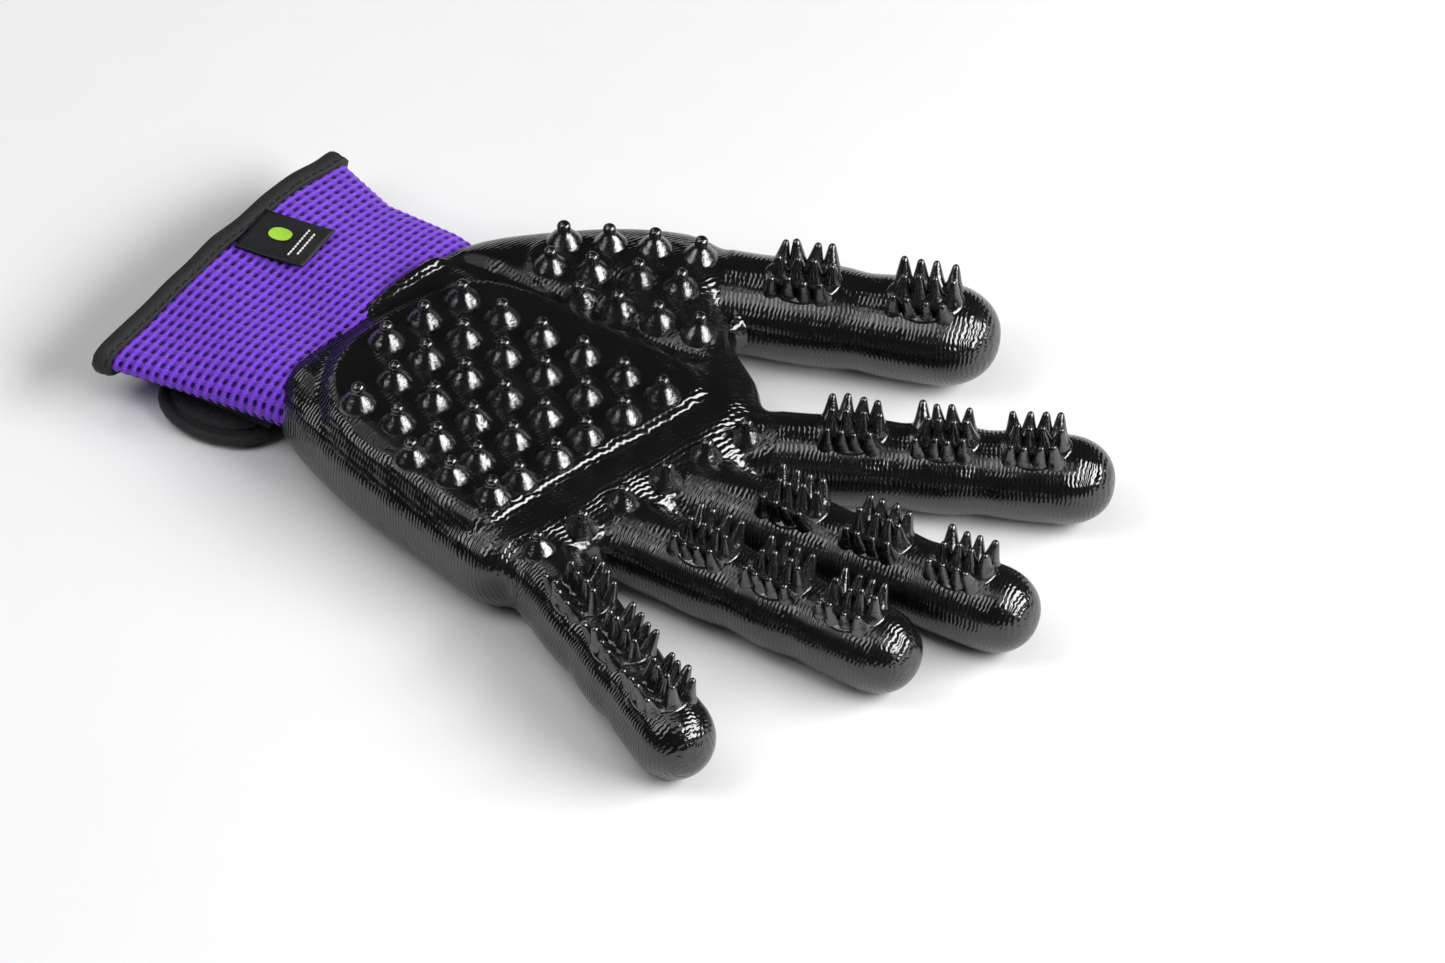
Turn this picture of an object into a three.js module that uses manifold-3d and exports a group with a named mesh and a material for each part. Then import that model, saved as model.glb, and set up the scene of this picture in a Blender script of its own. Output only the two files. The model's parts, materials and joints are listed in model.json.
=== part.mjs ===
// Left-hand grooming glove, lying on its back with the palm facing up.
// Millimetres. +X runs from the wrist to the fingertips, +Y to the thumb side, +Z up.
// The origin is the middle of the glove's footprint, on the surface it lies on.

import * as THREE from 'three';
import { mergeVertices } from 'three/addons/utils/BufferGeometryUtils.js';
import { LoftGeometry } from 'three/addons/geometries/LoftGeometry.js';
import Module from 'manifold-3d';

const wasm = await Module();
wasm.setup();

// Driving dimensions. Places in plan are counted from the middle of the palm's nub pad.
const gap = 0.3; // clear space between touching pieces
const wall = 2.2; // knit fabric with its rubber coat
const palm = {
  height: 26,
  edgeRadius: 9,
  panelInset: 10, // how far the knit back panel stays inside the palm's outline
  outline: [
    [-61, -20], [-36, -37], [0, -48], [27, -53.5], [38, -42], [46, -26], [51, -10], [57, 8],
    [59, 27], [51, 44], [34, 57], [22, 73], [11, 87], [-4, 85], [-24, 73], [-44, 55],
    [-53, 36], [-57, 8],
  ],
};
const fingers = {
  index: { root: [57, 30], angle: 25, reach: 95, width: 24 },
  middle: { root: [56, 7], angle: 3.5, reach: 98, width: 23 },
  ring: { root: [47, -16], angle: -1, reach: 89, width: 22.6 },
  pinky: { root: [34, -39], angle: -29, reach: 83, width: 22 },
};
const finger = {
  height: 22.6,
  floorGap: 0.3,
  knuckle: 11, // from the root to the first crease
  creases: [0.4, 0.64], // second and third crease, as parts of the reach
  pads: [0.27, 0.525, 0.78], // middles of the three spike pads
  padSize: [18.4, 14.4],
};
const thumb = {
  base: [24, 77],
  angle: 19,
  lengths: [32, 37],
  width: 29,
  height: 25,
  padSize: [20, 16],
};
const cuff = {
  hem: -101, // middle of the hem
  slant: 0.098, // the hem leans towards the fingers on the thumb side
  binding: 6,
  stations: [
    { x: -104, middle: 17, halfWidth: 51, low: 7.6, high: 19 },
    { x: -78, middle: 13, halfWidth: 44, low: 7.2, high: 21.5 },
    { x: -55, middle: 13.5, halfWidth: 42, low: 5.5, high: 24 },
    { x: -34, middle: 12, halfWidth: 39, low: 4.6, high: 24 },
  ],
};
const slit = { y: 37, width: 7, end: -58, lip: 2.2, low: 4.2, high: 8.6 };
const strap = {
  x: -77, width: 33.5, free: -33, fold: 46,
  anchor: { length: 7, low: 2.2, high: 12 },
  patchInset: 2,
  hooks: { inset: 3, to: 12 },
};
const loopPanel = { from: -24, to: 30, high: 9, margin: 0.3 };
const layers = { // heights of the strap's layers above the surface
  patch: [0, 1.6], emblem: 0.6, tape: [1.9, 3.5], hooks: [3.8, 4.7], loops: [5, 6.2],
};
const emblem = { ring: { y: -14, inner: 5.5, outer: 9 }, bar: { half: 3, from: -7, to: 32 } };
const label = { x: -97, y: 25, length: 21.5, width: 16, thickness: 0.8, lean: 5.5 };
const nub = { radius: 4.8, height: 7.5, pitch: 12.9 };
const spike = { radius: 2.1, height: 6.8, rows: 3, perRow: 4, rim: 0.8 };
const padThickness = 1.3;

const degree = Math.PI / 180;

const rubber = new THREE.MeshStandardMaterial({ color: 0x0b0b0c, roughness: 0.22, metalness: 0 });
const knit = new THREE.MeshStandardMaterial({ color: 0x4c1fa3, roughness: 0.85, metalness: 0 });
const mesh = new THREE.MeshStandardMaterial({ color: 0x5a25b8, roughness: 0.8, metalness: 0 });
const webbing = new THREE.MeshStandardMaterial({ color: 0x121214, roughness: 0.8, metalness: 0 });
const badge = new THREE.MeshStandardMaterial({ color: 0x151517, roughness: 0.45, metalness: 0 });
const violet = new THREE.MeshStandardMaterial({ color: 0x7b3fd0, roughness: 0.5, metalness: 0 });

// A closed geometry as a solid for joining and cutting.
function solidOf(geometry) {
  const bare = (geometry.index ? geometry.toNonIndexed() : geometry).clone();
  bare.deleteAttribute('normal');
  bare.deleteAttribute('uv');
  const merged = mergeVertices(bare, 1e-4);
  return new wasm.Manifold(new wasm.Mesh({
    numProp: 3,
    vertProperties: new Float32Array(merged.attributes.position.array),
    triVerts: new Uint32Array(merged.index.array),
  }));
}

function geometryOf(solid) {
  const result = solid.getMesh();
  const geometry = new THREE.BufferGeometry();
  geometry.setAttribute('position', new THREE.BufferAttribute(result.vertProperties, 3));
  geometry.setIndex(new THREE.BufferAttribute(result.triVerts, 1));
  geometry.computeVertexNormals();
  return geometry;
}

function named(name, geometry, material) {
  const piece = new THREE.Mesh(geometry, material);
  piece.name = name;
  return piece;
}

// A box given by its lowest and highest corners.
function boxBetween(low, high) {
  const size = high.map((value, axis) => value - low[axis]);
  const middle = high.map((value, axis) => (value + low[axis]) / 2);
  return new THREE.BoxGeometry(...size).translate(...middle);
}

// A flat plate of an outline between two heights.
function plate(shape, low, high, steps = 6) {
  const options = { depth: high - low, bevelEnabled: false, curveSegments: steps };
  return new THREE.ExtrudeGeometry(shape, options).translate(0, 0, low);
}

// ---- palm ----

function palmShape() {
  const corners = palm.outline.map(([x, y]) => new THREE.Vector3(x, y, 0));
  const curve = new THREE.CatmullRomCurve3(corners, true, 'centripetal');
  const points = curve.getSpacedPoints(38).slice(0, -1);
  return new THREE.Shape(points.map((point) => new THREE.Vector2(point.x, point.y)));
}

// The palm's body with rounded edges, moved in from its outer surface by an inset.
function palmBody(inset) {
  const round = palm.edgeRadius - inset;
  const geometry = new THREE.ExtrudeGeometry(palmShape(), {
    depth: palm.height - 2 * palm.edgeRadius,
    bevelThickness: round,
    bevelSize: round,
    bevelOffset: -palm.edgeRadius,
    bevelSegments: 3,
  });
  return solidOf(geometry.translate(0, 0, palm.edgeRadius));
}

function palmPlate(inset, low, high) {
  const geometry = new THREE.ExtrudeGeometry(palmShape(), {
    depth: high - low - 0.02,
    bevelThickness: 0.01,
    bevelSize: 0.01,
    bevelOffset: -inset,
    bevelSegments: 1,
  });
  return solidOf(geometry.translate(0, 0, low + 0.01));
}

// ---- fingers ----

// A round profile turned about the finger's length and pressed to the finger's height.
function turned(profile, width, height) {
  const points = profile.map(([radius, along]) => new THREE.Vector2(radius, along));
  const geometry = new THREE.LatheGeometry(points, 16);
  geometry.rotateX(Math.PI / 2); // the turning axis to Z
  geometry.rotateY(Math.PI / 2); // and on to X
  return geometry.scale(1, 1, height / width);
}

// An open sleeve from start to end.
function sleeve(start, end, width, height) {
  const outer = width / 2;
  const inner = outer - wall;
  const profile = [[inner, start], [outer, start], [outer, end], [inner, end], [inner, start]];
  return turned(profile, width, height);
}

// A round-ended body from start to end, closed on its axis.
function roundEnded(start, end, width, height, inset = 0) {
  const radius = width / 2 - inset;
  const tip = end - inset;
  const nose = Math.min(radius * 1.05, tip - start);
  const profile = [[0, start], [radius, start]];
  const steps = 4;
  for (let step = 0; step <= steps; step += 1) {
    const turn = (step / steps) * 90 * degree;
    const across = step === steps ? 0 : radius * Math.cos(turn);
    profile.push([across, tip - nose + nose * Math.sin(turn)]);
  }
  return turned(profile, width, height);
}

// A fingertip, open at its start.
function thimble(start, end, width, height) {
  const outer = solidOf(roundEnded(start, end, width, height));
  const inner = solidOf(roundEnded(start - 1, end, width, height, wall));
  return geometryOf(outer.subtract(inner));
}

function straightBody(start, end, width, height) {
  return turned([[0, start], [width / 2, start], [width / 2, end], [0, end]], width, height);
}

// Where the spikes of one pad stand: rows along the finger, side by side.
function spikePlaces([length, width]) {
  const spread = (size, count) => Array.from({ length: count }, (_, place) => (
    (place / (count - 1) - 0.5) * (size - 2 * spike.radius - spike.rim)));
  return spread(width, spike.rows).flatMap(
    (across) => spread(length, spike.perRow).map((along) => [along, across]));
}

// Soft spikes on a thin oval base that wraps over the finger's top.
function spikePad(middle, [length, width], fingerWidth, fingerHeight) {
  const oval = new THREE.Shape();
  oval.absellipse(middle, 0, length / 2, width / 2, 0, 2 * Math.PI);
  const grown = (by) => solidOf(straightBody(
    middle - length, middle + length, fingerWidth + 2 * by, fingerHeight + 2 * by));
  let pad = solidOf(plate(oval, 0, fingerHeight, 6)).intersect(grown(padThickness + gap));
  for (const [along, across] of spikePlaces([length, width])) {
    const lift = Math.sqrt(1 - (2 * across / fingerWidth) ** 2) * fingerHeight / 2;
    const cone = new THREE.ConeGeometry(spike.radius, spike.height + padThickness, 5);
    cone.rotateX(Math.PI / 2);
    cone.translate(middle + along, across, lift + gap + (spike.height + padThickness) / 2);
    pad = pad.add(solidOf(cone));
  }
  return geometryOf(pad.subtract(grown(gap)));
}

function fingerGroup(root, angle, height) {
  const group = new THREE.Group();
  group.position.set(root[0], root[1], finger.floorGap + height / 2);
  group.rotation.z = angle * degree;
  return group;
}

function makeFinger(name, { root, angle, reach, width }) {
  const group = fingerGroup(root, angle, finger.height);
  const [second, third] = finger.creases.map((part) => part * reach);
  const segments = [['proximal', finger.knuckle, second], ['middle', second, third]];
  for (const [segment, start, end] of segments) {
    const tube = sleeve(start + gap / 2, end - gap / 2, width, finger.height);
    group.add(named(`${name}_${segment}`, tube, rubber));
  }
  const tip = thimble(third + gap / 2, reach, width, finger.height);
  group.add(named(`${name}_tip`, tip, rubber));
  ['proximal', 'middle', 'tip'].forEach((segment, place) => {
    const middle = finger.pads[place] * reach;
    const pad = spikePad(middle, finger.padSize, width, finger.height);
    group.add(named(`${name}_${segment}_spikes`, pad, rubber));
  });
  return group;
}

function makeThumb() {
  const { base, angle, lengths, width, height, padSize } = thumb;
  const [lower, upper] = lengths;
  const reach = lower + upper;
  const pad = (middle) => spikePad(middle, padSize, width, height);
  const group = fingerGroup(base, angle, height);
  group.add(
    named('thumb_base', sleeve(gap / 2, lower - gap / 2, width, height), rubber),
    named('thumb_base_spikes', pad(lower * 0.5), rubber),
    named('thumb_tip', thimble(lower + gap / 2, reach, width, height), rubber),
    named('thumb_tip_spikes', pad(lower + upper * 0.46), rubber),
  );
  return group;
}

// Runs a solid in a finger's own frame into the palm's frame.
function inPalm(geometry, root, angle, height) {
  geometry.rotateZ(angle * degree);
  return solidOf(geometry.translate(root[0], root[1], finger.floorGap + height / 2));
}

// The short stubs that carry the fingers and the thumb, moved in by an inset.
function stubs(inset, beyond) {
  const parts = Object.values(fingers).map(({ root, angle, width }) => inPalm(
    straightBody(-14, finger.knuckle + beyond, width - 2 * inset, finger.height - 2 * inset),
    root, angle, finger.height));
  parts.push(inPalm(
    straightBody(-16, beyond, thumb.width - 2 * inset, thumb.height - 2 * inset),
    thumb.base, thumb.angle, thumb.height));
  return parts.reduce((sum, part) => sum.add(part));
}

// Everything past the creases where the fingers and the thumb begin.
function pastCreases() {
  const parts = Object.values(fingers).map(({ root, angle, width }) => inPalm(
    boxBetween([finger.knuckle - gap / 2, -width / 2, -20], [finger.knuckle + 20, width / 2, 20]),
    root, angle, finger.height));
  parts.push(inPalm(
    boxBetween([-gap / 2, -thumb.width / 2, -20], [20, thumb.width / 2, 20]),
    thumb.base, thumb.angle, thumb.height));
  return parts.reduce((sum, part) => sum.add(part));
}

// ---- cuff ----

function cuffSection({ x, middle, halfWidth, low, high }, inset) {
  const count = 28;
  const squareness = 2 / 2.6;
  const wide = halfWidth - inset;
  const tall = (high - low) / 2 - inset;
  return Array.from({ length: count }, (_, place) => {
    const turn = (place / count) * 2 * Math.PI;
    const across = Math.sign(Math.cos(turn)) * Math.abs(Math.cos(turn)) ** squareness;
    const up = Math.sign(Math.sin(turn)) * Math.abs(Math.sin(turn)) ** squareness;
    const y = wide * across;
    return new THREE.Vector3(x + cuff.slant * y, middle + y, (high + low) / 2 + tall * up);
  });
}

function cuffAt(x) {
  const next = cuff.stations.findIndex((station) => station.x >= x);
  const upper = Math.min(Math.max(next < 0 ? cuff.stations.length - 1 : next, 1),
    cuff.stations.length - 1);
  const from = cuff.stations[upper - 1];
  const to = cuff.stations[upper];
  const part = (x - from.x) / (to.x - from.x);
  const between = (key) => from[key] + (to[key] - from[key]) * part;
  return {
    x,
    middle: between('middle'),
    halfWidth: between('halfWidth'),
    low: between('low'),
    high: between('high'),
  };
}

// The cuff's body from one place to another, moved in by an inset.
function cuffBody(start, end, inset) {
  const stops = cuff.stations.map((station) => station.x).filter((x) => x > start && x < end);
  const sections = [start, ...stops, end].map((x) => cuffSection(cuffAt(x), inset));
  return solidOf(new LoftGeometry(sections, { closed: true, capStart: true, capEnd: true }));
}

function slitSolid(inset) {
  const half = slit.width / 2 - inset;
  const end = slit.end - slit.width / 2;
  const outline = new THREE.Shape();
  outline.moveTo(cuff.hem - 20, slit.y - half);
  outline.lineTo(end, slit.y - half);
  outline.absarc(end, slit.y, half, -Math.PI / 2, Math.PI / 2);
  outline.lineTo(cuff.hem - 20, slit.y + half);
  return solidOf(plate(outline, inset > 0 ? -1 : 0, cuff.stations[0].high - 5));
}

function makeCuff(palmSpace) {
  const hemEnd = cuff.hem + cuff.binding / 2;
  const outer = cuffBody(hemEnd + gap, cuff.stations.at(-1).x, 0);
  const inner = cuffBody(cuff.hem - 20, cuff.stations.at(-1).x + 10, wall);
  return geometryOf(outer.subtract(inner).subtract(slitSolid(0)).subtract(palmSpace));
}

function makeHemBinding() {
  const outer = cuffBody(cuff.hem - cuff.binding / 2, cuff.hem + cuff.binding / 2, -1);
  const inner = cuffBody(cuff.hem - 20, cuff.hem + 20, wall + 1);
  return geometryOf(outer.subtract(inner).subtract(slitSolid(0)));
}

function makeSlitBinding() {
  const hemEnd = cuff.hem + cuff.binding / 2 + gap + cuff.slant * (slit.y - cuff.stations[0].middle);
  const span = boxBetween([hemEnd + 0.6, slit.y - 20, slit.low], [slit.end + 20, slit.y + 20, slit.high]);
  return geometryOf(slitSolid(gap).subtract(slitSolid(slit.lip)).intersect(solidOf(span)));
}

// ---- strap ----

// The strap's plan: square at the fold, round at the free end.
function strapShape(inset, fold, free) {
  const half = strap.width / 2 - inset;
  const shape = new THREE.Shape();
  shape.moveTo(strap.x + half, fold - inset);
  shape.lineTo(strap.x - half, fold - inset);
  shape.lineTo(strap.x - half, free + inset + half * 0.7);
  shape.absellipse(strap.x, free + inset + half * 0.7, half, half * 0.7, Math.PI, 2 * Math.PI);
  return shape;
}

function emblemSolid(grow) {
  const { ring, bar } = emblem;
  const top = layers.emblem + grow;
  const disc = new THREE.Shape();
  disc.absarc(strap.x, ring.y, ring.outer + grow, 0, 2 * Math.PI);
  const hole = new THREE.Path();
  hole.absarc(strap.x, ring.y, ring.inner - grow, 0, 2 * Math.PI);
  disc.holes.push(hole);
  const half = bar.half + grow;
  const inlay = boxBetween([strap.x - half, bar.from - grow, -1], [strap.x + half, bar.to + grow, top]);
  return solidOf(plate(disc, -1, top, 8)).add(solidOf(inlay));
}

function makeStrap() {
  const fold = strap.fold - gap;
  const aboveFloor = solidOf(boxBetween([-200, -200, 0], [0, 200, 5]));
  const patchShape = strapShape(strap.patchInset, fold - strap.patchInset, strap.free);
  const patch = solidOf(plate(patchShape, ...layers.patch));
  const hooks = strapShape(strap.hooks.inset, strap.hooks.to, strap.free);
  return [
    named('strap_tape', plate(strapShape(0, fold, strap.free), ...layers.tape, 8), webbing),
    named('hook_pad', plate(hooks, ...layers.hooks), webbing),
    named('strap_patch', geometryOf(patch.subtract(emblemSolid(gap))), badge),
    named('patch_emblem', geometryOf(emblemSolid(0).intersect(aboveFloor)), violet),
  ];
}

function makeAnchor(gloveSpace) {
  const half = strap.width / 2;
  const block = boxBetween(
    [strap.x - half, strap.fold, strap.anchor.low],
    [strap.x + half, strap.fold + strap.anchor.length, strap.anchor.high]);
  return geometryOf(solidOf(block).subtract(gloveSpace));
}

function makeLoopPanel(gloveSpace) {
  const half = strap.width / 2 + loopPanel.margin;
  const block = boxBetween(
    [strap.x - half, loopPanel.from, layers.loops[0]],
    [strap.x + half, loopPanel.to, loopPanel.high]);
  return geometryOf(solidOf(block).subtract(gloveSpace));
}

// ---- nubs and label ----

function nubSolid(x, y, base) {
  const { radius, height } = nub;
  const profile = [
    [0, -0.6], [radius, -0.6], [radius * 0.92, 1.4], [radius * 0.3, height * 0.62],
    [radius * 0.27, height * 0.9], [0, height],
  ];
  const points = profile.map(([across, up]) => new THREE.Vector2(across, up));
  const geometry = new THREE.LatheGeometry(points, 6).rotateX(Math.PI / 2);
  return solidOf(geometry.translate(x, y, base + padThickness));
}

// Nubs standing on a thin base cut to an outline.
function nubPad(outline, places, base = palm.height + gap) {
  const shape = new THREE.Shape(outline.map(([x, y]) => new THREE.Vector2(x, y)));
  const start = solidOf(plate(shape, base, base + padThickness));
  return geometryOf(places.reduce((sum, [x, y]) => sum.add(nubSolid(x, y, base)), start));
}

function alongRow([x, y], [stepX, stepY], count) {
  return Array.from({ length: count }, (_, place) => [x + stepX * place, y + stepY * place]);
}

function makePalmPad() {
  const rows = [
    { start: [-30.5, 25], count: 6 }, { start: [-35, 13], count: 6 }, { start: [-39, 0.5], count: 6 },
    { start: [-28.5, -12], count: 5 }, { start: [-32, -24], count: 5 }, { start: [-9, -34], count: 3 },
  ];
  const places = rows.flatMap(({ start, count }) => alongRow(start, [nub.pitch, -0.7], count));
  const outline = [
    [-46, -2], [-40, -24], [-28, -33], [13, -43.5], [19, -41], [38, 22], [38, 30], [30, 34],
    [-18, 37], [-36, 26],
  ];
  return nubPad(outline, places);
}

function makeThumbPad() {
  const places = [
    ...alongRow([-21, 60], [11, 4.6], 4), ...alongRow([-19, 49.8], [11.3, 3.6], 4),
    ...alongRow([-6, 43.6], [11.2, 1.7], 4),
  ];
  const outline = [
    [-27, 60], [-24, 47], [-8, 38.5], [28, 43], [33, 48], [22, 66], [14, 79], [-2, 73],
  ];
  return nubPad(outline, places);
}

function makeKnuckleStrip() {
  const places = alongRow([35, -41], [4.4, 13.4], 6);
  const outline = [[29, -43], [39, -46], [63, 28], [53, 31]];
  return nubPad(outline, places);
}

function makeLabel() {
  const { length, width, thickness, lean, x, y } = label;
  const base = cuffAt(x).high + 0.9;
  const geometry = boxBetween([0, y - width / 2, 0], [length, y + width / 2, thickness]);
  return geometry.rotateY(-lean * degree).translate(x, 0, base);
}

// ---- the glove ----

function makeGlove() {
  const glove = new THREE.Group();
  const palmSpace = palmBody(-gap).add(stubs(-gap, 0));
  const gloveSpace = cuffBody(cuff.hem - 20, cuff.stations.at(-1).x, -gap).add(palmSpace);
  const hand = palmBody(wall).add(stubs(wall, 5)).add(cuffBody(cuff.hem - 20, -30, wall));
  const window = palmPlate(palm.panelInset - gap, -1, wall + 1);
  const shell = palmBody(0).add(stubs(0, 0)).subtract(pastCreases()).subtract(hand).subtract(window);
  glove.add(
    named('palm_coat', geometryOf(shell), rubber),
    named('back_panel', geometryOf(palmPlate(palm.panelInset, 0, wall)), knit),
    named('palm_nub_pad', makePalmPad(), rubber),
    named('thumb_nub_pad', makeThumbPad(), rubber),
    named('knuckle_nub_strip', makeKnuckleStrip(), rubber),
    named('cuff_mesh', makeCuff(palmSpace), mesh),
    named('hem_binding', makeHemBinding(), webbing),
    named('slit_binding', makeSlitBinding(), webbing),
    named('loop_panel', makeLoopPanel(gloveSpace), webbing),
    named('strap_anchor', makeAnchor(gloveSpace), webbing),
    named('hem_label', makeLabel(), webbing),
    ...makeStrap(),
    ...Object.entries(fingers).map(([name, size]) => makeFinger(name, size)),
    makeThumb(),
  );
  const box = new THREE.Box3().setFromObject(glove);
  const middle = box.getCenter(new THREE.Vector3());
  glove.position.set(-middle.x, -middle.y, -box.min.z);
  return glove;
}

export default makeGlove();
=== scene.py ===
import json
import math
import random
import bpy
import bmesh
from mathutils import Matrix, Vector
from mathutils.bvhtree import BVHTree


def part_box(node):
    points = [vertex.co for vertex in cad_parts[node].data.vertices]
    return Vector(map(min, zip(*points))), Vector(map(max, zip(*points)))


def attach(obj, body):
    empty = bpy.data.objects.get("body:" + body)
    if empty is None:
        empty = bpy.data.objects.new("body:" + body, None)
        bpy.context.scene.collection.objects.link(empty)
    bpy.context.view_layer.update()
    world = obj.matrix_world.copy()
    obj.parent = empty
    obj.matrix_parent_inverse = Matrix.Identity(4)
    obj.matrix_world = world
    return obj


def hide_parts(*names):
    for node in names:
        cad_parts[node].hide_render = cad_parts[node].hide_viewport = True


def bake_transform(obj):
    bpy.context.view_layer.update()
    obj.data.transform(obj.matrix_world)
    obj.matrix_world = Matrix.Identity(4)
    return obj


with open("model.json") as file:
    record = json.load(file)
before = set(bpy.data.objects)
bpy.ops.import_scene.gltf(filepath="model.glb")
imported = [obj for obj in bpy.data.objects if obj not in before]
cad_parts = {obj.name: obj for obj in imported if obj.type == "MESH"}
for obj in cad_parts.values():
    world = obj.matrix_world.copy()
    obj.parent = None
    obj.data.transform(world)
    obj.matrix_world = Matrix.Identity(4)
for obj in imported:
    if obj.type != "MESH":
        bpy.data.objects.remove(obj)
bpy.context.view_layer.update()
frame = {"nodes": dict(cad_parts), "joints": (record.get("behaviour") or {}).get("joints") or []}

mm = 0.001
up = Vector((0, 0, 1))
scene = bpy.context.scene
scene.view_settings.view_transform = "Standard"
joints = {joint["name"]: joint for joint in frame["joints"]}

# the palm pad's outline reaches 46 mm back and 43.5 mm out from its middle
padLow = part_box("palm_nub_pad")[0]
padMiddle = Vector((padLow.x + 46 * mm, padLow.y + 43.5 * mm, 0))


# a place counted in millimetres from the middle of the palm pad
def hand(x, y, z=0.0):
    return padMiddle + Vector((x, y, z)) * mm


# how far a CAD node reaches along a direction
def spanAlong(node, direction):
    reaches = [corner.co.dot(direction) for corner in frame["nodes"][node].data.vertices]
    return min(reaches), max(reaches)


# a smooth closed line through the points
def closedCurve(points, steps):
    count = len(points)
    line = []
    for place in range(count):
        a, b, c, d = (Vector(points[(place + step - 1) % count]) for step in range(4))
        for step in range(steps):
            t = step / steps
            line.append(0.5 * (2 * b + (c - a) * t + (2 * a - 5 * b + 4 * c - d) * t ** 2
                               + (3 * b - a - 3 * c + d) * t ** 3))
    return line


def smoothStep(low, high, value):
    t = min(max((value - low) / (high - low), 0), 1)
    return t * t * (3 - 2 * t)


# makes an object of a bmesh; clean turns its faces outwards
def newPiece(name, bm, materials, smooth=True, clean=True):
    if clean:
        bmesh.ops.recalc_face_normals(bm, faces=bm.faces)
    mesh = bpy.data.meshes.new(name)
    bm.to_mesh(mesh)
    bm.free()
    for material in materials if isinstance(materials, (list, tuple)) else [materials]:
        mesh.materials.append(material)
    mesh.polygons.foreach_set("use_smooth", [smooth] * len(mesh.polygons))
    piece = bpy.data.objects.new(name, mesh)
    scene.collection.objects.link(piece)
    return piece


# the piece rides on a body and stands for the CAD nodes
def stands(piece, body, slot, *nodes):
    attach(piece, body)
    if nodes:
        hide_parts(*nodes)
    return piece


# adds a copy of a template mesh
def addFrom(bm, template, matrix):
    before = len(bm.verts)
    bm.from_mesh(template)
    bm.verts.ensure_lookup_table()
    bmesh.ops.transform(bm, matrix=matrix, verts=bm.verts[before:])


# a profile of (radius, height) in millimetres spun about Z, closed at its top and open below
def turnedTemplate(name, profile, segments):
    bm = bmesh.new()
    line = [bm.verts.new((radius * mm, 0, height * mm)) for radius, height in profile]
    edges = [bm.edges.new(pair) for pair in zip(line, line[1:])]
    bmesh.ops.spin(bm, geom=line + edges, axis=(0, 0, 1), cent=(0, 0, 0), angle=2 * math.pi,
                   steps=segments, use_merge=True)
    bmesh.ops.remove_doubles(bm, verts=bm.verts, dist=1e-6)
    bmesh.ops.recalc_face_normals(bm, faces=bm.faces)
    mesh = bpy.data.meshes.new(name)
    bm.to_mesh(mesh)
    bm.free()
    return mesh


# a matrix that stands a template at a place, its Z along a direction
def towards(place, direction):
    return Matrix.Translation(place) @ direction.to_track_quat("Z", "Y").to_matrix().to_4x4()


# joins two rings of corners with a band of faces
def ringFaces(bm, first, second):
    edges = []
    for ring in (first, second):
        for a, b in zip(ring, ring[1:] + ring[:1]):
            edges.append(bm.edges.get((a, b)) or bm.edges.new((a, b)))
    bmesh.ops.bridge_loops(bm, edges=edges)


# a profile of (sideways, outwards) in millimetres carried through stops of (place, sideways, outwards)
def sweep(bm, profile, stops, closed):
    loops = []
    for place, sideways, outwards in stops:
        loops.append([bm.verts.new(place + (sideways * a + outwards * b) * mm) for a, b in profile])
    for first, second in zip(loops, loops[1:] + loops[:1] if closed else loops[1:]):
        ringFaces(bm, first, second)
    if not closed:
        for loop in (loops[0], loops[-1]):
            bm.faces.new(loop)


# a rounded rectangle, in millimetres
def roundedProfile(width, height, corner, steps=3):
    points = []
    for quarter in range(4):
        cx = (width / 2 - corner) * (1 if quarter in (0, 3) else -1)
        cy = (height / 2 - corner) * (1 if quarter in (0, 1) else -1)
        for step in range(steps + 1):
            angle = (quarter + step / steps) * math.pi / 2
            points.append((cx + corner * math.cos(angle), cy + corner * math.sin(angle)))
    return points


# small thread stitches, each of (place, along, outwards)
def stitchRow(bm, places, size):
    length, width = size
    for place, along, outwards in places:
        side = along.cross(outwards).normalized()
        turn = Matrix((along.normalized(), side, outwards.normalized())).transposed().to_4x4()
        matrix = Matrix.Translation(place) @ turn @ Matrix.Diagonal(
            (length * mm / 2, width * mm / 2, width * mm / 2.6, 1))
        bmesh.ops.create_uvsphere(bm, u_segments=6, v_segments=4, radius=1, matrix=matrix)


# places along a line at a spacing, with the line's direction there
def evenly(points, spacing, closed=True):
    line = points + points[:1] if closed else points
    result, left = [], 0.0
    for a, b in zip(line, line[1:]):
        length = (b - a).length
        while left <= length and length > 0:
            result.append((a.lerp(b, left / length), (b - a).normalized()))
            left += spacing * mm
        left -= length
    return result


def socketGroup(name, inputs, outputs):
    group = bpy.data.node_groups.new(name, "ShaderNodeTree")
    for label, kind, value in inputs:
        socket = group.interface.new_socket(label, in_out="INPUT", socket_type=kind)
        if value is not None:
            socket.default_value = value
    for label, kind in outputs:
        group.interface.new_socket(label, in_out="OUTPUT", socket_type=kind)
    return group, group.nodes.new("NodeGroupInput"), group.nodes.new("NodeGroupOutput")


def mathNode(tree, operation, first, second=None):
    node = tree.nodes.new("ShaderNodeMath")
    node.operation = operation
    for socket, value in zip(node.inputs, (first, second)):
        if value is None:
            continue
        if isinstance(value, (int, float)):
            socket.default_value = value
        else:
            tree.links.new(value, socket)
    return node.outputs[0]


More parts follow.
